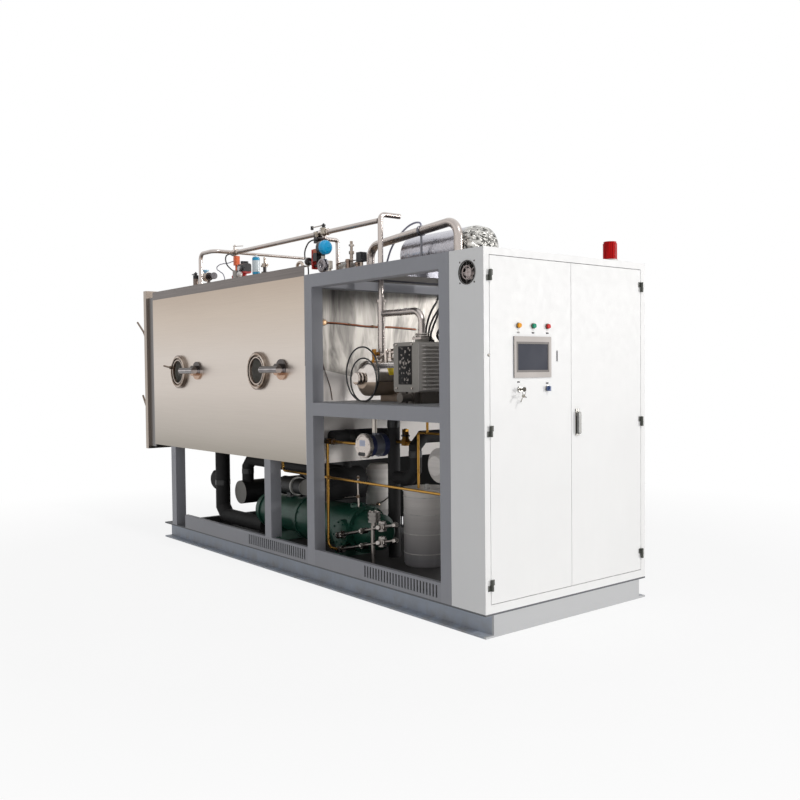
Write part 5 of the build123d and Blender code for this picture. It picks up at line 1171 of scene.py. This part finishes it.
class DRYER_OT_stage(bpy.types.Operator):
    """Sets the floor, the sky, the lamps and the camera"""
    bl_idname = "dryer.stage"
    bl_label = "Stage"

    def execute(self, context):
        scene = context.scene
        bm = bmesh.new()
        bmesh.ops.create_grid(bm, x_segments=1, y_segments=1, size=40)
        mesh = bpy.data.meshes.new("floor")
        bm.to_mesh(mesh)
        bm.free()
        floor = bpy.data.objects.new("floor", mesh)
        scene.collection.objects.link(floor)
        ground = Finish("pale_floor", 0.9)
        ground.set("Base Color", ground.mix(ground.noise(3, 4), paint(240, 240, 240), paint(247, 247, 247)))
        mesh.materials.append(ground.material)
        seen, mirrored, through = ground.rays()
        away = ground.node("ShaderNodeVectorMath", {"operation": "LENGTH"}, {0: ground.place}, output=1)
        glow = ground.node("ShaderNodeEmission", {}, {"Color": (1, 1, 1, 1), "Strength": 1.0})
        share = away.ramp(2.6, 5.0) * 0.14 + 0.86
        blend = ground.node(
            "ShaderNodeMixShader", {}, {0: (seen + mirrored + through) * share, 1: ground.shader.outputs[0],
                                        2: glow},
        )
        ground.feed(ground.output.inputs["Surface"], blend)

        world = bpy.data.worlds.new("studio")
        scene.world = world
        sky = Nodes(world, "ShaderNodeOutputWorld")
        lit = sky.node("ShaderNodeBackground", {}, {"Color": (0.965, 0.975, 1.0, 1), "Strength": 0.39})
        white = sky.node("ShaderNodeBackground", {}, {"Color": (1, 1, 1, 1)})
        seen, mirrored, through = sky.rays()
        pick = sky.node("ShaderNodeMixShader", {},
                        {0: seen.or_else(mirrored).or_else(through), 1: lit, 2: white})
        sky.feed(sky.output.inputs["Surface"], pick)

        for name, energy, azimuth, height, spread, colour in (
            ("sun", 0.95, 2, 42, 5, (1.0, 0.98, 0.96)), ("low_sun", 0.83, 46, 5, 8, (1.0, 0.985, 0.97)),
        ):
            sun = bpy.data.lights.new(name, "SUN")
            sun.energy = energy
            sun.angle = math.radians(spread)
            sun.color = colour
            lamp = bpy.data.objects.new(name, sun)
            azimuth, height = math.radians(azimuth), math.radians(height)
            way = Vector((math.cos(azimuth) * math.cos(height), math.sin(azimuth) * math.cos(height),
                          math.sin(height)))
            lamp.rotation_euler = way.to_track_quat("Z", "Y").to_euler()
            lamp.location = way * 8
            scene.collection.objects.link(lamp)

        lens = bpy.data.cameras.new("camera")
        lens.lens = 40.53
        lens.sensor_width = 36.0                # in millimetres, like the focal length
        camera = bpy.data.objects.new("camera", lens)
        right = Vector((0.6270, 0.7790, -0.0098))
        up = Vector((-0.0190, 0.0278, 0.9994))
        back = Vector((0.7788, -0.6264, 0.0323))
        turn = Matrix((right, up, back)).transposed()
        camera.matrix_world = Matrix.Translation((4.999, -3.698, 1.32)) @ turn.to_4x4()
        scene.collection.objects.link(camera)
        scene.camera = camera
        scene.view_settings.view_transform = "Standard"
        return {"FINISHED"}


class DRYER_PT_panel(bpy.types.Panel):
    """The colours of the freeze dryer's finishes, and the steps that make them"""
    bl_idname = "DRYER_PT_panel"
    bl_label = "Freeze dryer"
    bl_space_type = "VIEW_3D"
    bl_region_type = "UI"
    bl_category = "Freeze dryer"

    def draw(self, context):
        layout = self.layout
        for group in SETTINGS:
            owner = getattr(context.scene, group)
            for name in SETTINGS[group].__annotations__:
                layout.prop(owner, name)
        for step in STEPS:
            layout.operator(step.bl_idname)


SETTINGS = {"dryer_frame": FrameSettings, "dryer_cabinet": CabinetSettings, "dryer_chamber": ChamberSettings}
STEPS = (
    DRYER_OT_frame, DRYER_OT_chamber, DRYER_OT_cabinet, DRYER_OT_machinery, DRYER_OT_cabinet_fittings,
    DRYER_OT_sight_fittings, DRYER_OT_roof_fittings, DRYER_OT_bay_fittings, DRYER_OT_lower_fittings,
    DRYER_OT_stage,
)


def register():
    for group, kind in SETTINGS.items():
        bpy.utils.register_class(kind)
        setattr(bpy.types.Scene, group, PointerProperty(type=kind))
    for kind in (*STEPS, DRYER_PT_panel):
        bpy.utils.register_class(kind)


def unregister():
    for kind in (DRYER_PT_panel, *reversed(STEPS)):
        bpy.utils.unregister_class(kind)
    for group, kind in SETTINGS.items():
        delattr(bpy.types.Scene, group)
        bpy.utils.unregister_class(kind)


def main():
    register()
    for step in STEPS:
        category, name = step.bl_idname.split(".")
        getattr(getattr(bpy.ops, category), name)()


if __name__ == "__main__":
    main()
